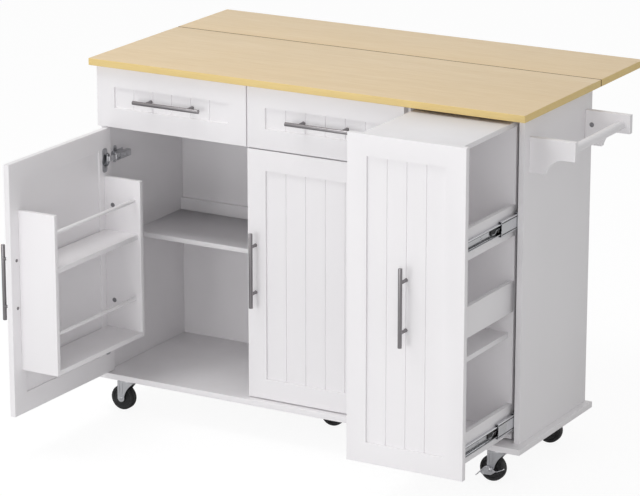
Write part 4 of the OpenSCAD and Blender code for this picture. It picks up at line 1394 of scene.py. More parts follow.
@dataclass(frozen=True)
class PanelledDoor:
    """A framed door with its panel, handle and two hinges, from its hinge edge and inner face."""

    side: str
    width: float
    height: float
    bottom: float
    placement: Placement
    arm_place: Placement
    link_place: Placement
    wall_x: float
    beads: int = 6
    handle_in: float = 22.0
    hinge_end: float = 79.0

    def fitted(self, shells: Iterable[Shell]) -> list[Shell]:
        """Moves shells from the door's frame to its pose."""
        return [shell.placed(self.placement) for shell in shells]

    def at_hinges(self, shells: Sequence[Shell]) -> list[Shell]:
        """Copies shells to both hinges' heights."""
        heights = (self.bottom + self.hinge_end, self.bottom + self.height - self.hinge_end)
        return [shell.placed(Placement((0, 0, z))) for z in heights for shell in shells]

    def leaf(self, palette: Palette) -> None:
        """The frame, bored for its cups, and the panel in its groove.

        Args:
            palette: the island's materials.
        """
        base = Placement((0, -STYLE.thickness, self.bottom))
        ring = mitred_frame(self.width, self.height, STYLE.stile_profile()).placed(base)
        bore = turned(rod_profile(HINGE.cup_r, -HINGE.cup_deep, 3, 0.01), (HINGE.cup_in, 0, 0), Axis.Y, 56)
        name = f"{self.side}_door_"
        mesh = bored(joined_mesh(name + "ring", self.fitted([ring])), self.fitted(self.at_hinges([bore])))
        dressed(name + "stiles_and_rails", name + "frame", mesh, palette.lacquer)
        panel = STYLE.panel(self.width, self.height, self.beads).placed(base)
        dressed(name + "beaded_panel", name + "panel", self.fitted([panel]), palette.lacquer)

    def hardware(self, palette: Palette) -> None:
        """The handle, the hinges' cups and their links.

        Args:
            palette: the island's materials.
        """
        handle_z = Box.of(f"{self.side}_handle").middle()[2]
        middle = (self.width - self.handle_in, -STYLE.thickness, handle_z)
        pull = self.fitted(Handle().shells(middle, Axis.Z, -STYLE.thickness, 0))
        cups = self.fitted(self.at_hinges(HINGE.cup()))
        links = [shell.placed(self.link_place) for shell in self.at_hinges(HINGE.link())]
        dressed(f"{self.side}_door_pull", f"{self.side}_handle", pull, palette.satin_z)
        dressed(f"{self.side}_cups", f"{self.side}_hinge_cups", cups, palette.zinc, round_by=0.25)
        dressed(f"{self.side}_links", f"{self.side}_hinge_links", links, palette.bright, round_by=0.3)

    def arms(self) -> list[Shell]:
        """The hinges' arms, which stay on the cabinet."""
        return [shell.placed(self.arm_place) for shell in self.at_hinges(HINGE.arm(self.wall_x))]

    def build(self, palette: Palette) -> None:
        """Makes what swings with the door."""
        self.leaf(palette)
        self.hardware(palette)


@dataclass(frozen=True)
class SpiceRack:
    """Two sides, two shelves and two guard dowels on a door's inner face."""

    door: PanelledDoor
    edge: float = 19.0
    free: float = 33.0
    ease: float = 0.6
    depth: float = 106.0
    upper_depth: float = 98.0
    board_t: float = 12.0
    dowel_r: float = 5.0
    dowel_out: float = 88.0
    dowel_seat: float = 6.0
    cam_r: float = 6.0
    cam_in: float = 24.0

    def boards(self, palette: Palette) -> None:
        """The two sides and the two shelves between them.

        Args:
            palette: the island's materials.
        """
        start, end, t = self.edge, self.door.width - self.free, self.board_t
        sides, top = Box.of("rack_sides"), Box.of("rack_shelves").hi[2]
        low, high = sides.lo[2], sides.hi[2]
        uprights = [board((x, 0, low), (x + t, self.depth, high), self.ease) for x in (start, end - t)]
        shelves = [board((start + t, 0, low), (end - t, self.depth, low + t), self.ease),
                   board((start + t, 0, top - t), (end - t, self.upper_depth, top), self.ease)]
        dressed("rack_side_boards", "rack_sides", self.door.fitted(uprights), palette.lacquer)
        dressed("rack_shelf_boards", "rack_shelves", self.door.fitted(shelves), palette.lacquer)

    def small_pieces(self, palette: Palette) -> None:
        """The guard dowels, and the cams in the sides' inner faces.

        Args:
            palette: the island's materials.
        """
        left, right = self.edge + self.board_t, self.door.width - self.free - self.board_t
        dowels, cams = Box.of("rack_dowels"), Box.of("rack_cams")
        rod = rod_profile(self.dowel_r, left - self.dowel_seat, right + self.dowel_seat, 0.5)
        rods = [turned(rod, (0, self.dowel_out, z), Axis.X, 28)
                for z in (dowels.lo[2] + self.dowel_r, dowels.hi[2] - self.dowel_r)]
        discs = [shell for z in (cams.lo[2] + self.cam_r, cams.hi[2] - self.cam_r)
                 for x, way in ((left, 1), (right, -1))
                 for shell in cam_disc((x, self.cam_in, z), Axis.X, way, self.cam_r)]
        dressed("rack_guard_dowels", "rack_dowels", self.door.fitted(rods), palette.lacquer)
        dressed("rack_cam_discs", "rack_cams", self.door.fitted(discs), palette.dark_metal)

    def build(self, palette: Palette) -> None:
        """Makes the rack."""
        self.boards(palette)
        self.small_pieces(palette)


# ---- Slides, drawers and pull-out ----


@dataclass(frozen=True)
class BallSlide:
    """Three nested channels of bent steel; the wall is at x = 0 and the drawer at x = depth."""

    depth: float = 12.7
    steel: float = 1.2
    half: float = 22.5
    gap: float = 0.5
    lip: float = 2.8
    race: float = 5.0
    bend: float = 1.6
    screw_r: float = 3.6
    latch_from: float = 161.5
    latch_len: float = 40.0
    latch_h: float = 11.0
    hub_r: float = 4.6
    hub_in: float = 30.0
    tongue_t: float = 1.5
    # Width of the dark strips that are painted shade along the ball races and under the lips.
    shade_strip_w: float = 2.3

    def channel(self, web: float, lip_x: float, high: float, lip_z: float, y0: float, y1: float) -> Shell:
        """A channel with returned lips: a bent strip of steel carried along Y.

        Args:
            web: x of the web's middle.
            lip_x: x of the lips' middle.
            high: outer half height.
            lip_z: height at which the lips end.
            y0: start of the channel.
            y1: end of the channel.

        Returns:
            The channel.
        """
        edge = high - self.steel / 2
        path = filleted([(lip_x, lip_z), (lip_x, edge), (web, edge), (web, -edge), (lip_x, -edge),
                         (lip_x, -lip_z)], self.bend)
        return prism(strip_outline(path, self.steel), y0, y1, Axis.Y)

    def outer(self, y0: float, y1: float) -> list[Shell]:
        """The member on the cabinet's wall, with two screws in its web.

        Args:
            y0: start of the member.
            y1: end of the member.

        Returns:
            The member's shells.
        """
        lip_x = self.depth - self.steel - 2.0 - self.steel / 2
        web = self.channel(self.steel / 2, lip_x, self.half, self.half - self.lip + 0.3, y0, y1)
        heads = [screw_head((self.steel, y, 0), Axis.X, 1, self.screw_r, 0.45, 1.0)
                 for y in (y0 + 35, y1 - 40)]
        return [web, *heads]

    def middle(self, y0: float, y1: float) -> list[Shell]:
        """The member between, which carries both rows of balls.

        Args:
            y0: start of the member.
            y1: end of the member.

        Returns:
            The member's shells.
        """
        web = 1.5 * self.steel + self.gap
        high = self.half - self.lip - self.gap
        lip_x = self.depth - self.steel - self.gap - self.steel / 2
        return [self.channel(web, lip_x, high, high - self.race + 0.6, y0, y1)]

    def inner(self, y0: float, y1: float) -> list[Shell]:
        """The member on the drawer, with its three screws.

        Args:
            y0: start of the member.
            y1: end of the member.

        Returns:
            The member's shells.
        """
        high = self.half - self.lip - self.race - 2 * self.gap
        lip_x = 2 * (self.steel + self.gap) + self.gap + self.steel / 2
        web = self.channel(self.depth - self.steel / 2, lip_x, high, high - self.lip, y0, y1)
        seat = self.depth - self.steel
        heads = [screw_head((seat, y, 0), Axis.X, -1, self.screw_r, 0.9, 1.0)
                 for y in (y0 + 20, y0 + 115, y1 - 30)]
        return [web, *heads]

    def race_shade_strips(self, y0: float, y1: float) -> list[Shell]:
        """Two dark strips on the middle member's outer face, which show as two lines: painted shade of the
        grooves along the ball races.

        Args:
            y0: start of the middle member.
            y1: end of the middle member.

        Returns:
            The two strips.
        """
        x0, z = self.steel + self.gap - 0.2, self.half - self.lip - self.race - 2 * self.gap
        return [board((x0, y0 + 0.5, low), (x0 + 0.5, y1 - 0.5, low + self.shade_strip_w), 0.1)
                for low in (z - 0.8, -(z + 0.9))]

    def inner_lip_shade_strips(self, y0: float, y1: float) -> list[Shell]:
        """Dark strips inside the inner member's lips, where the balls run: painted shade under the lips.

        Args:
            y0: start of the inner member.
            y1: end of the inner member.

        Returns:
            The two strips.
        """
        x0, half = 2 * (self.steel + self.gap) + self.gap + 0.3, self.shade_strip_w / 2
        z = self.half - 2 * self.lip - self.race - 2 * self.gap
        return [board((x0, y0 + 1, at - half), (x0 + 1.0, y1 - 1, at + half), 0.2) for at in (-z, z)]

    def latch(self, y0: float) -> tuple[list[Shell], list[Shell]]:
        """The release lever: a black base and a curled bright tongue.

        Args:
            y0: start of the inner member.

        Returns:
            The black shells and the bright ones.
        """
        seat, start, half = self.depth - self.steel, y0 + self.latch_from, self.latch_h / 2
        base = board((seat - 3.0, start, -half), (seat + 0.2, start + self.latch_len, half), 1.0)
        hub = turned(rod_profile(self.hub_r, seat - 7.0, seat, 0.8), (0, start + self.hub_in, 0), Axis.X, 28)
        curl = filleted([(start + 2, -3.6), (start + 14, -4.2), (start + 24, 4.4), (start + 38, 3.0)], 7.0, 8)
        tongue = prism(strip_outline(curl, self.tongue_t), seat - 6.4, seat - 2.6, Axis.X)
        return [base, hub], [tongue]


SLIDE = BallSlide()


@dataclass(frozen=True)
class SlidePair:
    """A bay's two slides: the left one as drawn, the right one mirrored."""

    left: float
    right: float
    height: float

    def both(self, shells: Sequence[Shell]) -> list[Shell]:
        """Copies shells to both walls of the bay.

        Args:
            shells: shells in the slide's own frame.

        Returns:
            The shells of the left slide and of the right one.
        """
        left = Placement((self.left, 0, self.height))
        right = Placement((self.right, 0, self.height), mirrored=True)
        return [shell.placed(place) for place in (left, right) for shell in shells]


def in_bay(pairs: Sequence[SlidePair], shells: Sequence[Shell]) -> list[Shell]:
    """Copies shells to every slide of a bay.

    Args:
        pairs: the bay's pairs of slides.
        shells: shells in the slide's own frame.

    Returns:
        The copies.
    """
    return [shell for pair in pairs for shell in pair.both(shells)]


def slide_members(name: str, inner_node: str, middle_node: str, pairs: Sequence[SlidePair],
                  palette: Palette) -> None:
    """Makes a drawer's inner and middle members.

    Args:
        name: start of the pieces' names.
        inner_node: CAD node of the inner members.
        middle_node: CAD node of the middle members.
        pairs: the bay's pairs of slides.
        palette: the island's materials.
    """
    inner, middle = Box.of(inner_node), Box.of(middle_node)
    y0, y1 = inner.lo[1], inner.hi[1]
    black, bright = SLIDE.latch(y0)
    # The inner members' dark strips are painted shade under the lips; they share the black latches' piece.
    dark = [*in_bay(pairs, black), *in_bay(pairs, SLIDE.inner_lip_shade_strips(y0, y1))]
    dressed(name + "_inner_channels", inner_node, in_bay(pairs, SLIDE.inner(y0, y1)), palette.bright)
    dressed(name + "_latches", inner_node, dark, palette.moulding)
    dressed(name + "_latch_tongues", inner_node, in_bay(pairs, bright), palette.bright)
    y0, y1 = middle.lo[1], middle.hi[1]
    dressed(name + "_middle_channels", middle_node, in_bay(pairs, SLIDE.middle(y0, y1)), palette.bright)
    # The middle members' dark strips are painted shade along the ball races.
    dressed(name + "_ball_cages", middle_node, in_bay(pairs, SLIDE.race_shade_strips(y0, y1)), palette.moulding)


@dataclass(frozen=True)
class Drawer:
    """A routed front on a box of thin boards, with its handle and slides."""

    number: int
    pair: SlidePair
    board_t: float = 12.0
    bottom_t: float = 5.0
    bottom_up: float = 6.0
    beads: int = 6

    def box_boards(self, box: Box) -> list[Shell]:
        """The box: two sides, a back between them and a bottom let in above their lower edges.

        Args:
            box: the place of the whole box.

        Returns:
            The four boards.
        """
        t, lo, hi = self.board_t, box.lo, box.hi
        floor = lo[2] + self.bottom_up
        return [board(lo, (lo[0] + t, hi[1], hi[2]), 0.6), board((hi[0] - t, lo[1], lo[2]), hi, 0.6),
                board((lo[0] + t, hi[1] - t, lo[2]), (hi[0] - t, hi[1], hi[2]), 0.6),
                board((lo[0] + t, lo[1], floor), (hi[0] - t, hi[1] - t, floor + self.bottom_t), 0.3)]

    def build(self, palette: Palette) -> None:
        """Makes the drawer.

        Args:
            palette: the island's materials.
        """
        name = f"drawer_{self.number}_"
        face = Box.of(name + "front")
        width, height = face.hi[0] - face.lo[0], face.hi[2] - face.lo[2]
        front = STYLE.routed(width, height, self.beads).placed(Placement(tuple(face.lo)))
        middle = (face.middle()[0], face.lo[1], face.middle()[2])
        handle = Handle().shells(middle, Axis.X, face.lo[1] + STYLE.recess, face.hi[1])
        dressed(name + "routed_front", name + "front", [front], palette.lacquer)
        dressed(name + "box_boards", name + "box", self.box_boards(Box.of(name + "box")), palette.foil)
        dressed(name + "pull", name + "handle", handle, palette.satin_x)
        slide_members(name + "slide", name + "slides", name + "mid", [self.pair], palette)


@dataclass(frozen=True)
class PullOut:
    """The tall pull-out: a framed front, and its case of shelves with guards."""

    board_t: float = 12.0
    ease: float = 0.6
    guard_h: float = 75.0
    tier_mid: float = 366.0
    guard_mid: float = 432.0
    beads: int = 4

    def front(self, face: Box, palette: Palette) -> None:
        """The frame, and the panel in its groove.

        Args:
            face: the front's box.
            palette: the island's materials.
        """
        width, height = face.hi[0] - face.lo[0], face.hi[2] - face.lo[2]
        place = Placement(tuple(face.lo))
        frame_ring = mitred_frame(width, height, STYLE.stile_profile()).placed(place)
        panel = STYLE.panel(width, height, self.beads).placed(place)
        dressed("pull_out_stiles_and_rails", "pull_front", [frame_ring], palette.lacquer)
        dressed("pull_out_beaded_panel", "pull_panel", [panel], palette.lacquer)

    def case(self, palette: Palette) -> None:
        """The back, the top, three tiers and a guard along either side of each tier.

        Args:
            palette: the island's materials.
        """
        box, guards = Box.of("pull_case"), Box.of("pull_guards")
        t, lo, hi = self.board_t, box.lo, box.hi
        back, low, high = hi[1] - t, guards.lo[2], guards.hi[2] - self.guard_h
        boards = [board((lo[0], back, lo[2]), hi, self.ease),
                  board((lo[0], lo[1], hi[2] - t), (hi[0], back, hi[2]), self.ease)]
        boards += [board((lo[0] + t, lo[1], z), (hi[0] - t, back, z + t), self.ease)
                   for z in (low, self.tier_mid, high)]
        rails = [board((x, lo[1], z), (x + t, back, z + self.guard_h), self.ease)
                 for x in (lo[0], hi[0] - t) for z in (low, self.guard_mid, high)]
        dressed("pull_out_case_boards", "pull_case", boards, palette.lacquer)
        dressed("pull_out_guard_boards", "pull_guards", rails, palette.lacquer)

    def handle(self, face: Box, palette: Palette) -> None:
        """The handle, which stands on the panel.

        Args:
            face: the front's box.
            palette: the island's materials.
        """
        middle = (face.middle()[0], face.lo[1], Box.of("pull_handle").middle()[2])
        seat = face.lo[1] + STYLE.recess
        shells = Handle().shells(middle, Axis.Z, seat, seat + STYLE.panel_t)
        dressed("pull_out_pull", "pull_handle", shells, palette.satin_z)

    def build(self, palette: Palette) -> None:
        """Makes the pull-out without its slides.

        Args:
            palette: the island's materials.
        """
        face = Box.of("pull_front")
        self.front(face, palette)
        self.case(palette)
        self.handle(face, palette)


# ---- Leaf hinges and casters ----


@dataclass(frozen=True)
class LeafHinges:
    """Three flap hinges under the leaf's seam: knuckles on a pin, and rounded plates."""

    length: float = 60.0
    radius: float = 4.5
    gap: float = 0.6
    plate_t: float = 2.0
    pin_r: float = 2.0
    pin_out: float = 0.8
    play: float = 0.2
    screw_r: float = 3.2
    fixed_screw: float = 5.0
    moving_screw: float = 12.0
    corner: float = 4.0

    def knuckle(self, x0: float, x1: float, axle: Array) -> Shell:
        """A knuckle from x0 to x1 round the pin."""
        return turned(rod_profile(self.radius, x0, x1, 0.5), (0, axle[1], axle[2]), Axis.X, 28)

    def tab(self, x0: float, x1: float, y0: float, y1: float, top: float) -> Shell:
        """The tab that carries a knuckle, just inside the plate's two faces."""
        return board((x0, y0, top - self.plate_t + 0.06), (x1, y1, top - 0.02), 0.3)

    def plate(self, x: float, y0: float, y1: float, top: float) -> Shell:
        """A plate with rounded corners under the boards."""
        outline = rounded_outline((x - self.length / 2, y0), (x + self.length / 2, y1), self.corner)
        return prism(outline, top - self.plate_t, top, Axis.Z)

    def screws(self, x: float, y: float, top: float) -> list[Shell]:
        """The two screws of a plate."""
        places = [(x + side * self.length / 3, y, top - self.plate_t) for side in (-1, 1)]
        return [screw_head(place, Axis.Z, -1, self.screw_r, 1.1) for place in places]

    def fixed_half(self, x: float, y0: float, axle: Array, top: float) -> list[Shell]:
        """The half on the worktop: a plate, two knuckles with their tabs, and the pin.

        Args:
            x: the hinge's middle.
            y0: the plate's front edge.
            axle: a point of the pin.
            top: height of the boards' underside.

        Returns:
            The half's shells.
        """
        half, third = self.length / 2, self.length / 3
        starts = (x - half, x + half - third)
        pin = rod_profile(self.pin_r, x - half - self.pin_out, x + half + self.pin_out, 0.4)
        return [self.plate(x, y0, axle[1] - self.radius - self.gap, top),
                *[self.knuckle(start, start + third, axle) for start in starts],
                *[self.tab(start, start + third, y0 + 4, axle[1], top) for start in starts],
                turned(pin, (0, axle[1], axle[2]), Axis.X, 20),
                *self.screws(x, y0 + self.fixed_screw, top)]

    def moving_half(self, x: float, y1: float, axle: Array, top: float) -> list[Shell]:
        """The half on the leaf: a plate, and the middle knuckle with its tab.

        Args:
            x: the hinge's middle.
            y1: the plate's rear edge.
            axle: a point of the pin.
            top: height of the boards' underside.

        Returns:
            The half's shells.
        """
        half = self.length / 6 - self.play
        return [self.knuckle(x - half, x + half, axle),
                self.tab(x - half, x + half, axle[1], axle[1] + self.radius + 4, top),
                self.plate(x, axle[1] + self.radius + self.gap, y1, top),
                *self.screws(x, y1 - self.moving_screw, top)]

    def build(self, palette: Palette) -> None:
        """Makes both halves of the three hinges.

        Args:
            palette: the island's materials.
        """
        fixed, moving = Box.of("leaf_hinge_fixed"), Box.of("leaf_hinge_moving")
        axle, top, half = joint_place("drop_leaf"), Box.of("countertop").lo[2], self.length / 2
        still, turning = [], []
        for x in (fixed.lo[0] + half, fixed.middle()[0], fixed.hi[0] - half):
            still += self.fixed_half(x, fixed.lo[1], axle, top)
            turning += self.moving_half(x, moving.hi[1], axle, top)
        dressed("flap_hinge_fixed_halves", "leaf_hinge_fixed", still, palette.zinc)
        dressed("flap_hinge_moving_halves", "leaf_hinge_moving", turning, palette.zinc)


@dataclass(frozen=True)
class Caster:
    """One swivel caster: plate, fork and wheel."""

    number: int
    plate_w: float = 60.0
    plate_t: float = 2.5
    plate_hole: float = 23.0
    plate_corner: float = 6.0
    race_r: float = 21.0
    race_h: float = 5.0
    king_r: float = 8.0
    king_neck: float = 4.9
    fork_top: float = 78.0
    steel: float = 2.0
    leg_y: float = 13.5
    leg_r: float = 10.0
    fork_x1: float = 24.0
    dome_h: float = 6.0
    rib_off: float = 4.6
    rib_half: float = 1.3
    rib_out: float = 0.8
    axle_r: float = 3.0
    rocker_w: float = 5.0
    wheel_w: float = 20.0
    crown_h: float = 1.3
    tyre_h: float = 8.0
    web_half: float = 7.2
    hub_r: float = 9.0
    hub_w: float = 25.0
    bore_r: float = 3.1
    braked: bool = False

    def pivot(self) -> Array:
        """A point of the swivel axis."""
        return joint_place(f"swivel_{self.number}")

    def axle(self) -> Array:
        """The middle of the wheel."""
        return joint_place(f"wheel_{self.number}")

    def plate(self, base: float) -> list[Shell]:
        """The top plate with its screws, the upper race and the king pin's head.

        Args:
            base: height of the board's underside.

        Returns:
            The shells.
        """
        x, y, _ = self.pivot()
        half, low, under = self.plate_w / 2, base - self.plate_t, self.fork_top - self.steel
        outline = rounded_outline((x - half, y - half), (x + half, y + half), self.plate_corner)
        race = [(0, low + 0.1), (self.race_r, low + 0.1), (self.race_r, low - 1.5),
                (self.race_r - 2.5, low - self.race_h + 0.4), (self.race_r - 3.5, low - self.race_h),
                (0, low - self.race_h)]
        king = [(0, low - 4), (self.king_neck, low - 4), (self.king_neck, under - 0.6),
                (self.king_r, under - 0.7), (self.king_r, under - 2.2), (self.king_r - 1.5, under - 3.3),
                (0, under - 3.4)]
        holes = [(x + i * self.plate_hole, y + j * self.plate_hole, low) for i in (-1, 1) for j in (-1, 1)]
        return [prism(outline, low, base, Axis.Z), turned(race, (x, y, 0), Axis.Z, 40),
                turned(king, (x, y, 0), Axis.Z, 32), *[screw_head(hole, Axis.Z, -1) for hole in holes]]

    def leg_outline(self) -> Array:
        """A leg's outline: round at the axle, then widening to the fork's top.

        The rear edge is straight. The front edge is the curve p(t) = (1-t)^2 a + 2t(1-t) c + t^2 b
        from the round end up to the fork's front corner.

        Returns:
            Points of x and z, from the swivel axis and the floor.
        """
        x, z, top = (self.axle() - self.pivot())[0], self.axle()[2], self.fork_top
        end = arc((x, z), self.leg_r, 180, 380, 18)
        t = np.linspace(0, 1, 12)[1:, None]
        a, b, c = end[-1], np.array([self.fork_x1, top]), np.array([x + self.leg_r + 3, z + 26])
        curve = (1 - t) ** 2 * a + 2 * t * (1 - t) * c + t**2 * b
        return np.concatenate([[(x - self.leg_r, top)], end, curve])

    def fork(self) -> list[Shell]:
        """Two ribbed legs, the top between them, the lower race and the axle with its heads.

        Returns:
            The shells, in the part's frame.
        """
        (x, y, _), axle = self.pivot(), self.axle()
        reach, outer, high = axle - (x, y, 0), self.leg_y + self.steel, self.fork_top
        outline, rear, wide = self.leg_outline(), reach[0] - self.leg_r, self.race_r + 1.0
        shells = [prism(outline, side * self.leg_y, side * outer, Axis.Y) for side in (-1, 1)]
        top = rounded_outline((rear + 0.3, -outer + 0.6), (self.fork_x1 - 0.5, outer - 0.6), 1.0)
        shells.append(prism(top, high - self.steel, high - 0.12, Axis.Z))
        dome = [(0, high + self.dome_h), (14, high + self.dome_h), (wide - 0.6, high + self.dome_h - 1.0),
                (wide, high + self.dome_h - 2.4), (wide, high - 0.2), (0, high - 0.2)]
        shells.append(turned(dome, (0, 0, 0), Axis.Z, 44))
        shells += self.ribs(reach, outer)
        shells += self.axle_shells(reach, outer)
        return [shell.placed(Placement((x, y, 0))) for shell in shells]

    def ribs(self, axle: Array, outer: float) -> list[Shell]:
        """Two pressed ribs on each leg's outer face.

        Args:
            axle: the wheel's middle, from the swivel axis and the floor.
            outer: the legs' outer faces.

        Returns:
            The four ribs.
        """
        shells = []
        for side in (-1, 1):
            for x in (axle[0] - self.rib_off, axle[0] + self.rib_off):
                outline = rounded_outline((x - self.rib_half, axle[2] + 13),
                                          (x + self.rib_half, self.fork_top - 5), 1.2, 4)
                shells.append(prism(outline, side * (outer - 0.3), side * (outer + self.rib_out), Axis.Y))
        return shells

    def axle_shells(self, axle: Array, outer: float) -> list[Shell]:
        """The axle with a domed head at either end.

        Args:
            axle: the wheel's middle, from the swivel axis and the floor.
            outer: the legs' outer faces.

        Returns:
            The rod and its two heads.
        """
        front = outer + self.rocker_w if self.braked else outer
        rod = turned(rod_profile(self.axle_r, -front - 1, outer + 1, 0.3), (axle[0], 0, axle[2]), Axis.Y, 24)
        dome = np.array([(0, 0), (5.0, 0), (5.0, 0.5), (4.4, 1.3), (2.8, 1.85), (0, 2.0)])
        heads = [turned(dome * [1, way], (axle[0], way * at, axle[2]), Axis.Y, 28)
                 for way, at in ((-1, front), (1, outer))]
        return [rod, *heads]

    def wheel(self) -> tuple[list[Shell], list[Shell]]:
        """The wheel: a crowned tread on a dished web, and the hub round the axle.

        At the share s of half the width the tread's radius is radius - crown_h * |s|^4.

        Returns:
            The tread's shells and the hub's.
        """
        radius, half, web = self.axle()[2], self.wheel_w / 2, self.web_half
        share = np.linspace(-1, 1, 13)
        crown = np.stack([radius - self.crown_h * abs(share) ** 4, share * half], -1)
        rim, hub, end = radius - self.tyre_h, self.hub_r, self.hub_w / 2
        right = np.array([(rim + 1.5, half - 0.3), (rim, half - 1.6), (rim - 1.5, web), (hub + 3, web - 0.8),
                          (hub + 0.6, web)])
        tread = hoop([*(right[::-1] * [1, -1]), *crown, *right], self.axle(), Axis.Y, 72)
        cap = [(self.bore_r, -end), (hub - 1.2, -end), (hub, 1.2 - end), (hub + 1.2, 0), (hub, end - 1.2),
               (hub - 1.2, end), (self.bore_r, end)]
        return [tread], [hoop(cap, self.axle(), Axis.Y, 40)]

    def build(self, palette: Palette) -> None:
        """Makes the fork and the wheel.

        Args:
            palette: the island's materials.
        """
        name, wheel_node = f"caster_{self.number}_", f"wheel_{self.number}"
        tread, hub = self.wheel()
        dressed(name + "fork", f"fork_{self.number}", self.fork(), palette.zinc, round_by=0.35)
        dressed(name + "tread", wheel_node, tread, palette.tread)
        dressed(name + "hub", wheel_node, hub, palette.moulding)


@dataclass(frozen=True)
class BrakeRocker:
    """The foot brake: a cheek on the axle and a tread bent along its upper edge."""

    steel: float = 2.0
    width: float = 10.0
    eye_r: float = 6.0
    edge: tuple[tuple[float, float], ...] = ((-35, -18), (-8, 10.5), (19, -1.5), (37, 7))
    cheek: tuple[tuple[float, float], ...] = ((-8, 10.5), (19, -1.5), (2, -14), (-21, -16), (-28, -10.5))

    def build(self, palette: Palette) -> None:
        """Makes the rocker.

        Args:
            palette: the island's materials.
        """
        axle, back = joint_place("brake_rocker"), Box.of("brake_rocker").hi[1]
        path = filleted(self.edge, 5.0, 6)
        tread = prism(strip_outline(path, self.steel), back - self.width, back, Axis.Y)
        loop = filleted([*self.cheek[2:], *self.cheek[:2], self.cheek[2]], 3.0, 5)
        cheek = prism(loop, back - self.steel, back - 0.02, Axis.Y)
        rim = rod_profile(self.eye_r, back - self.steel - 0.3, back - 0.1, 0.3)
        place = Placement((axle[0], 0, axle[2]))
        shells = [shell.placed(place) for shell in (tread, cheek, turned(rim, (0, 0, 0), Axis.Y, 32))]
        dressed("brake_treadle", "brake_rocker", shells, palette.bright, round_by=0.35)


# ---- Studio ----


@dataclass(frozen=True)
class Lamp:
    """A square area lamp that looks at the middle of the island, in metres and watts."""

    name: str
    place: Point
    power: float
    size: float
    aim: Point = (0.0, 0.0, 0.5)

    def build(self) -> None:
        """Hangs the lamp; its tilt is the angle of its aim from straight down."""
        data = bpy.data.lights.new(self.name, "AREA")
        data.energy, data.size = self.power, self.size
        lamp = bpy.data.objects.new(self.name, data)
        lamp.location = self.place
        x, y, z = np.array(self.aim) - self.place
        lamp.rotation_euler = (math.atan2(math.hypot(x, y), -z), 0, math.atan2(y, x) - math.pi / 2)
        bpy.context.scene.collection.objects.link(lamp)


@dataclass(frozen=True)
class Studio:
    """Camera, lamps, backdrop and floor."""

    position: Point = (3.676, -6.572, 2.697)
    yaw: float = 29.635
    pitch: float = 16.322
    lens: float = 180.5
    sensor: float = 36.0
    lamps: tuple[Lamp, ...] = (
        Lamp("front", (-0.9, -5.0, 0.9), 46.0, 2.0),
        Lamp("fill", (2.0, -4.8, 1.5), 27.0, 2.0),
        Lamp("overhead", (-1.1, -1.3, 4.3), 50.0, 1.6))
    ambient: float = 0.5
    floor_half: float = 30.0
    floor_grey: float = 0.92
    floor_white: float = 0.85
    floor_glow: float = 1.06

    def camera(self) -> None:
        """The camera, at the photograph's viewing angle."""
        data = bpy.data.cameras.new("camera")
        data.lens, data.sensor_width, data.clip_end = self.lens, self.sensor, 200.0
        camera = bpy.data.objects.new("camera", data)
        camera.location = self.position
        camera.rotation_euler = (math.radians(90 - self.pitch), 0, math.radians(self.yaw))
        bpy.context.scene.collection.objects.link(camera)
        bpy.context.scene.camera = camera

    def shows(self, wiring: Wiring) -> Socket:
        """Tells what the backdrop itself is seen by.

        Args:
            wiring: the world's wiring.

        Returns:
            One where a ray comes from the camera, a reflection or glass, and zero elsewhere.
        """
        path = wiring.add("LightPath").outputs
        seen = wiring.larger(path["Is Camera Ray"], path["Is Glossy Ray"])
        return wiring.larger(seen, path["Is Transmission Ray"])

    def world(self) -> None:
        """Soft light from everywhere, in front of a white backdrop."""
        world = bpy.data.worlds.new("studio")
        world.use_nodes = True
        wiring = Wiring(world.node_tree)
        world.node_tree.nodes.clear()
        light = wiring.add("Background", {"Color": (1, 1, 1, 1), "Strength": self.ambient}).outputs[0]
        white = wiring.add("Background", {"Color": (1, 1, 1, 1), "Strength": 1.0}).outputs[0]
        mixed = wiring.add("MixShader", {0: self.shows(wiring), 1: light, 2: white}).outputs[0]
        wiring.add("OutputWorld", {"Surface": mixed})
        bpy.context.scene.world = world

    def floor(self) -> None:
        """A white floor that keeps the island's shadow."""
        half = self.floor_half
        mesh = bpy.data.meshes.new("floor")
        mesh.from_pydata([(-half, -half, 0), (half, -half, 0), (half, half, 0), (-half, half, 0)], [],
                         [(0, 1, 2, 3)])
        floor = bpy.data.objects.new("floor", mesh)
        paint = bpy.data.materials.new("floor_paint")
        paint.use_nodes = True
        wiring = Wiring(paint.node_tree)
        paint.node_tree.nodes.clear()
        matt = wiring.add("BsdfDiffuse", {"Color": (*[self.floor_grey] * 3, 1)}).outputs[0]
        white = wiring.add("Emission", {"Color": (1, 1, 1, 1), "Strength": self.floor_glow}).outputs[0]
        share = wiring.product(wiring.add("LightPath").outputs["Is Camera Ray"], self.floor_white)
        mixed = wiring.add("MixShader", {0: share, 1: matt, 2: white}).outputs[0]
        wiring.add("OutputMaterial", {"Surface": mixed})
        mesh.materials.append(paint)
        bpy.context.scene.collection.objects.link(floor)

    def build(self) -> None:
        """Sets up the studio."""
        self.camera()
        self.world()
        self.floor()
        for lamp in self.lamps:
            lamp.build()
        bpy.context.scene.view_settings.view_transform = "Standard"


# ---- The whole island ----


OPEN_TURN = -91.0
LINK_TURN = 44.0


def doors() -> tuple[PanelledDoor, PanelledDoor]:
    """Works out both doors' places from the frame.

    Returns:
        The left door, open, and the middle one, shut.
    """
    shut, side, divider = Box.of("middle_door_frame"), Box.of("side_left"), Box.of("divider")
    width, height, bottom, inner = shut.hi[0] - shut.lo[0], shut.hi[2] - shut.lo[2], shut.lo[2], shut.hi[1]
    pivot, arm = joint_place("left_door"), joint_place("left_door_link")
    left = PanelledDoor(
        "left", width, height, bottom,
        placement=swung(pivot, OPEN_TURN, HINGE.pivot_door),
        arm_place=Placement((side.lo[0], inner, 0)),
        link_place=swung(arm, LINK_TURN, HINGE.pivot_arm), wall_x=side.hi[0] - side.lo[0])
    still = Placement((shut.hi[0], inner, 0), mirrored=True)
    middle = PanelledDoor("middle", width, height, bottom, still, still, still, shut.hi[0] - divider.lo[0])
    return left, middle


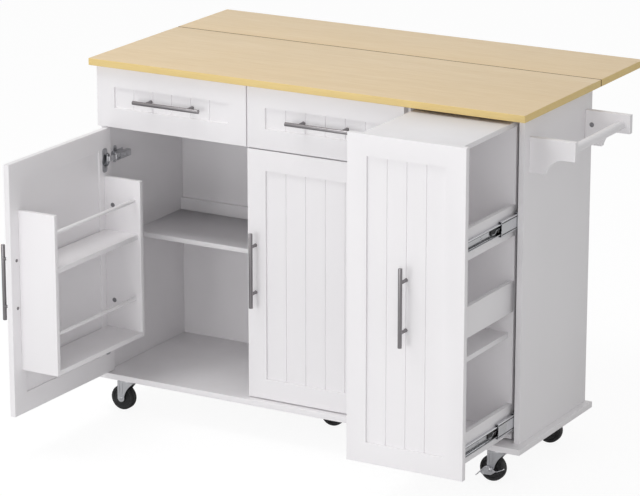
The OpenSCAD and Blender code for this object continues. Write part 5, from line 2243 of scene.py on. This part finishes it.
def swung(pivot: Array, turn: float, local: tuple[float, float]) -> Placement:
    """A placement that turns a frame about one of its points, which lies on a pivot.

    The origin is the pivot less the turned local point.

    Args:
        pivot: the pivot's place.
        turn: the angle, in degrees.
        local: the point that lies on the pivot.

    Returns:
        The placement.
    """
    reach = Placement(turn=turn).apply(np.array([[*local, 0.0]]))[0]
    return Placement((pivot[0] - reach[0], pivot[1] - reach[1], 0), turn)


def build_slides(palette: Palette) -> tuple[SlidePair, SlidePair]:
    """Makes the fixed slide members and the pull-out's moving ones.

    Args:
        palette: the island's materials.

    Returns:
        The slide pairs of the two drawers.
    """
    outers, deck, tall = Box.of("slide_outers"), Box.of("drawer_deck"), Box.of("pull_slide_outers")
    half, x, z = CabinetBody().board_t / 2, deck.middle()[0], outers.middle()[2]
    drawers = (SlidePair(outers.lo[0], x - half, z), SlidePair(x + half, outers.hi[0], z))
    levels = (tall.lo[2] + SLIDE.half, tall.hi[2] - SLIDE.half)
    pairs = [SlidePair(tall.lo[0], tall.hi[0], level) for level in levels]
    for name, node, box, bay in (("drawer_outer_channels", "slide_outers", outers, drawers),
                                 ("pull_out_outer_channels", "pull_slide_outers", tall, pairs)):
        dressed(name, node, in_bay(bay, SLIDE.outer(box.lo[1], box.hi[1])), palette.zinc)
    slide_members("pull_out_slide", "pull_slides", "pull_mid", pairs, palette)
    return drawers


def main() -> None:
    """Builds the island piece by piece, then the studio."""
    logging.basicConfig(level=logging.INFO, format="%(message)s")
    palette = Palette.mixed()
    body = CabinetBody()
    body.build(palette)
    TowelRail().build(palette)
    left, middle = doors()
    for door in (left, middle):
        door.build(palette)
    dressed("hinge_arm_set", "hinge_arms", left.arms() + middle.arms(), palette.zinc, round_by=0.3)
    SpiceRack(left).build(palette)
    for number, pair in enumerate(build_slides(palette), 1):
        Drawer(number, pair).build(palette)
    PullOut().build(palette)
    body.worktop("drop_leaf", "leaf_board", -1, palette)
    LeafHinges().build(palette)
    base = Box.of("base_board").lo[2]
    casters = [Caster(number, braked=number == 2) for number in range(1, 6)]
    plates = [shell for caster in casters for shell in caster.plate(base)]
    dressed("caster_plate_set", "caster_plates", plates, palette.zinc, round_by=0.3)
    for caster in casters:
        caster.build(palette)
    BrakeRocker().build(palette)
    Studio().build()


if __name__ == "__main__":
    main()
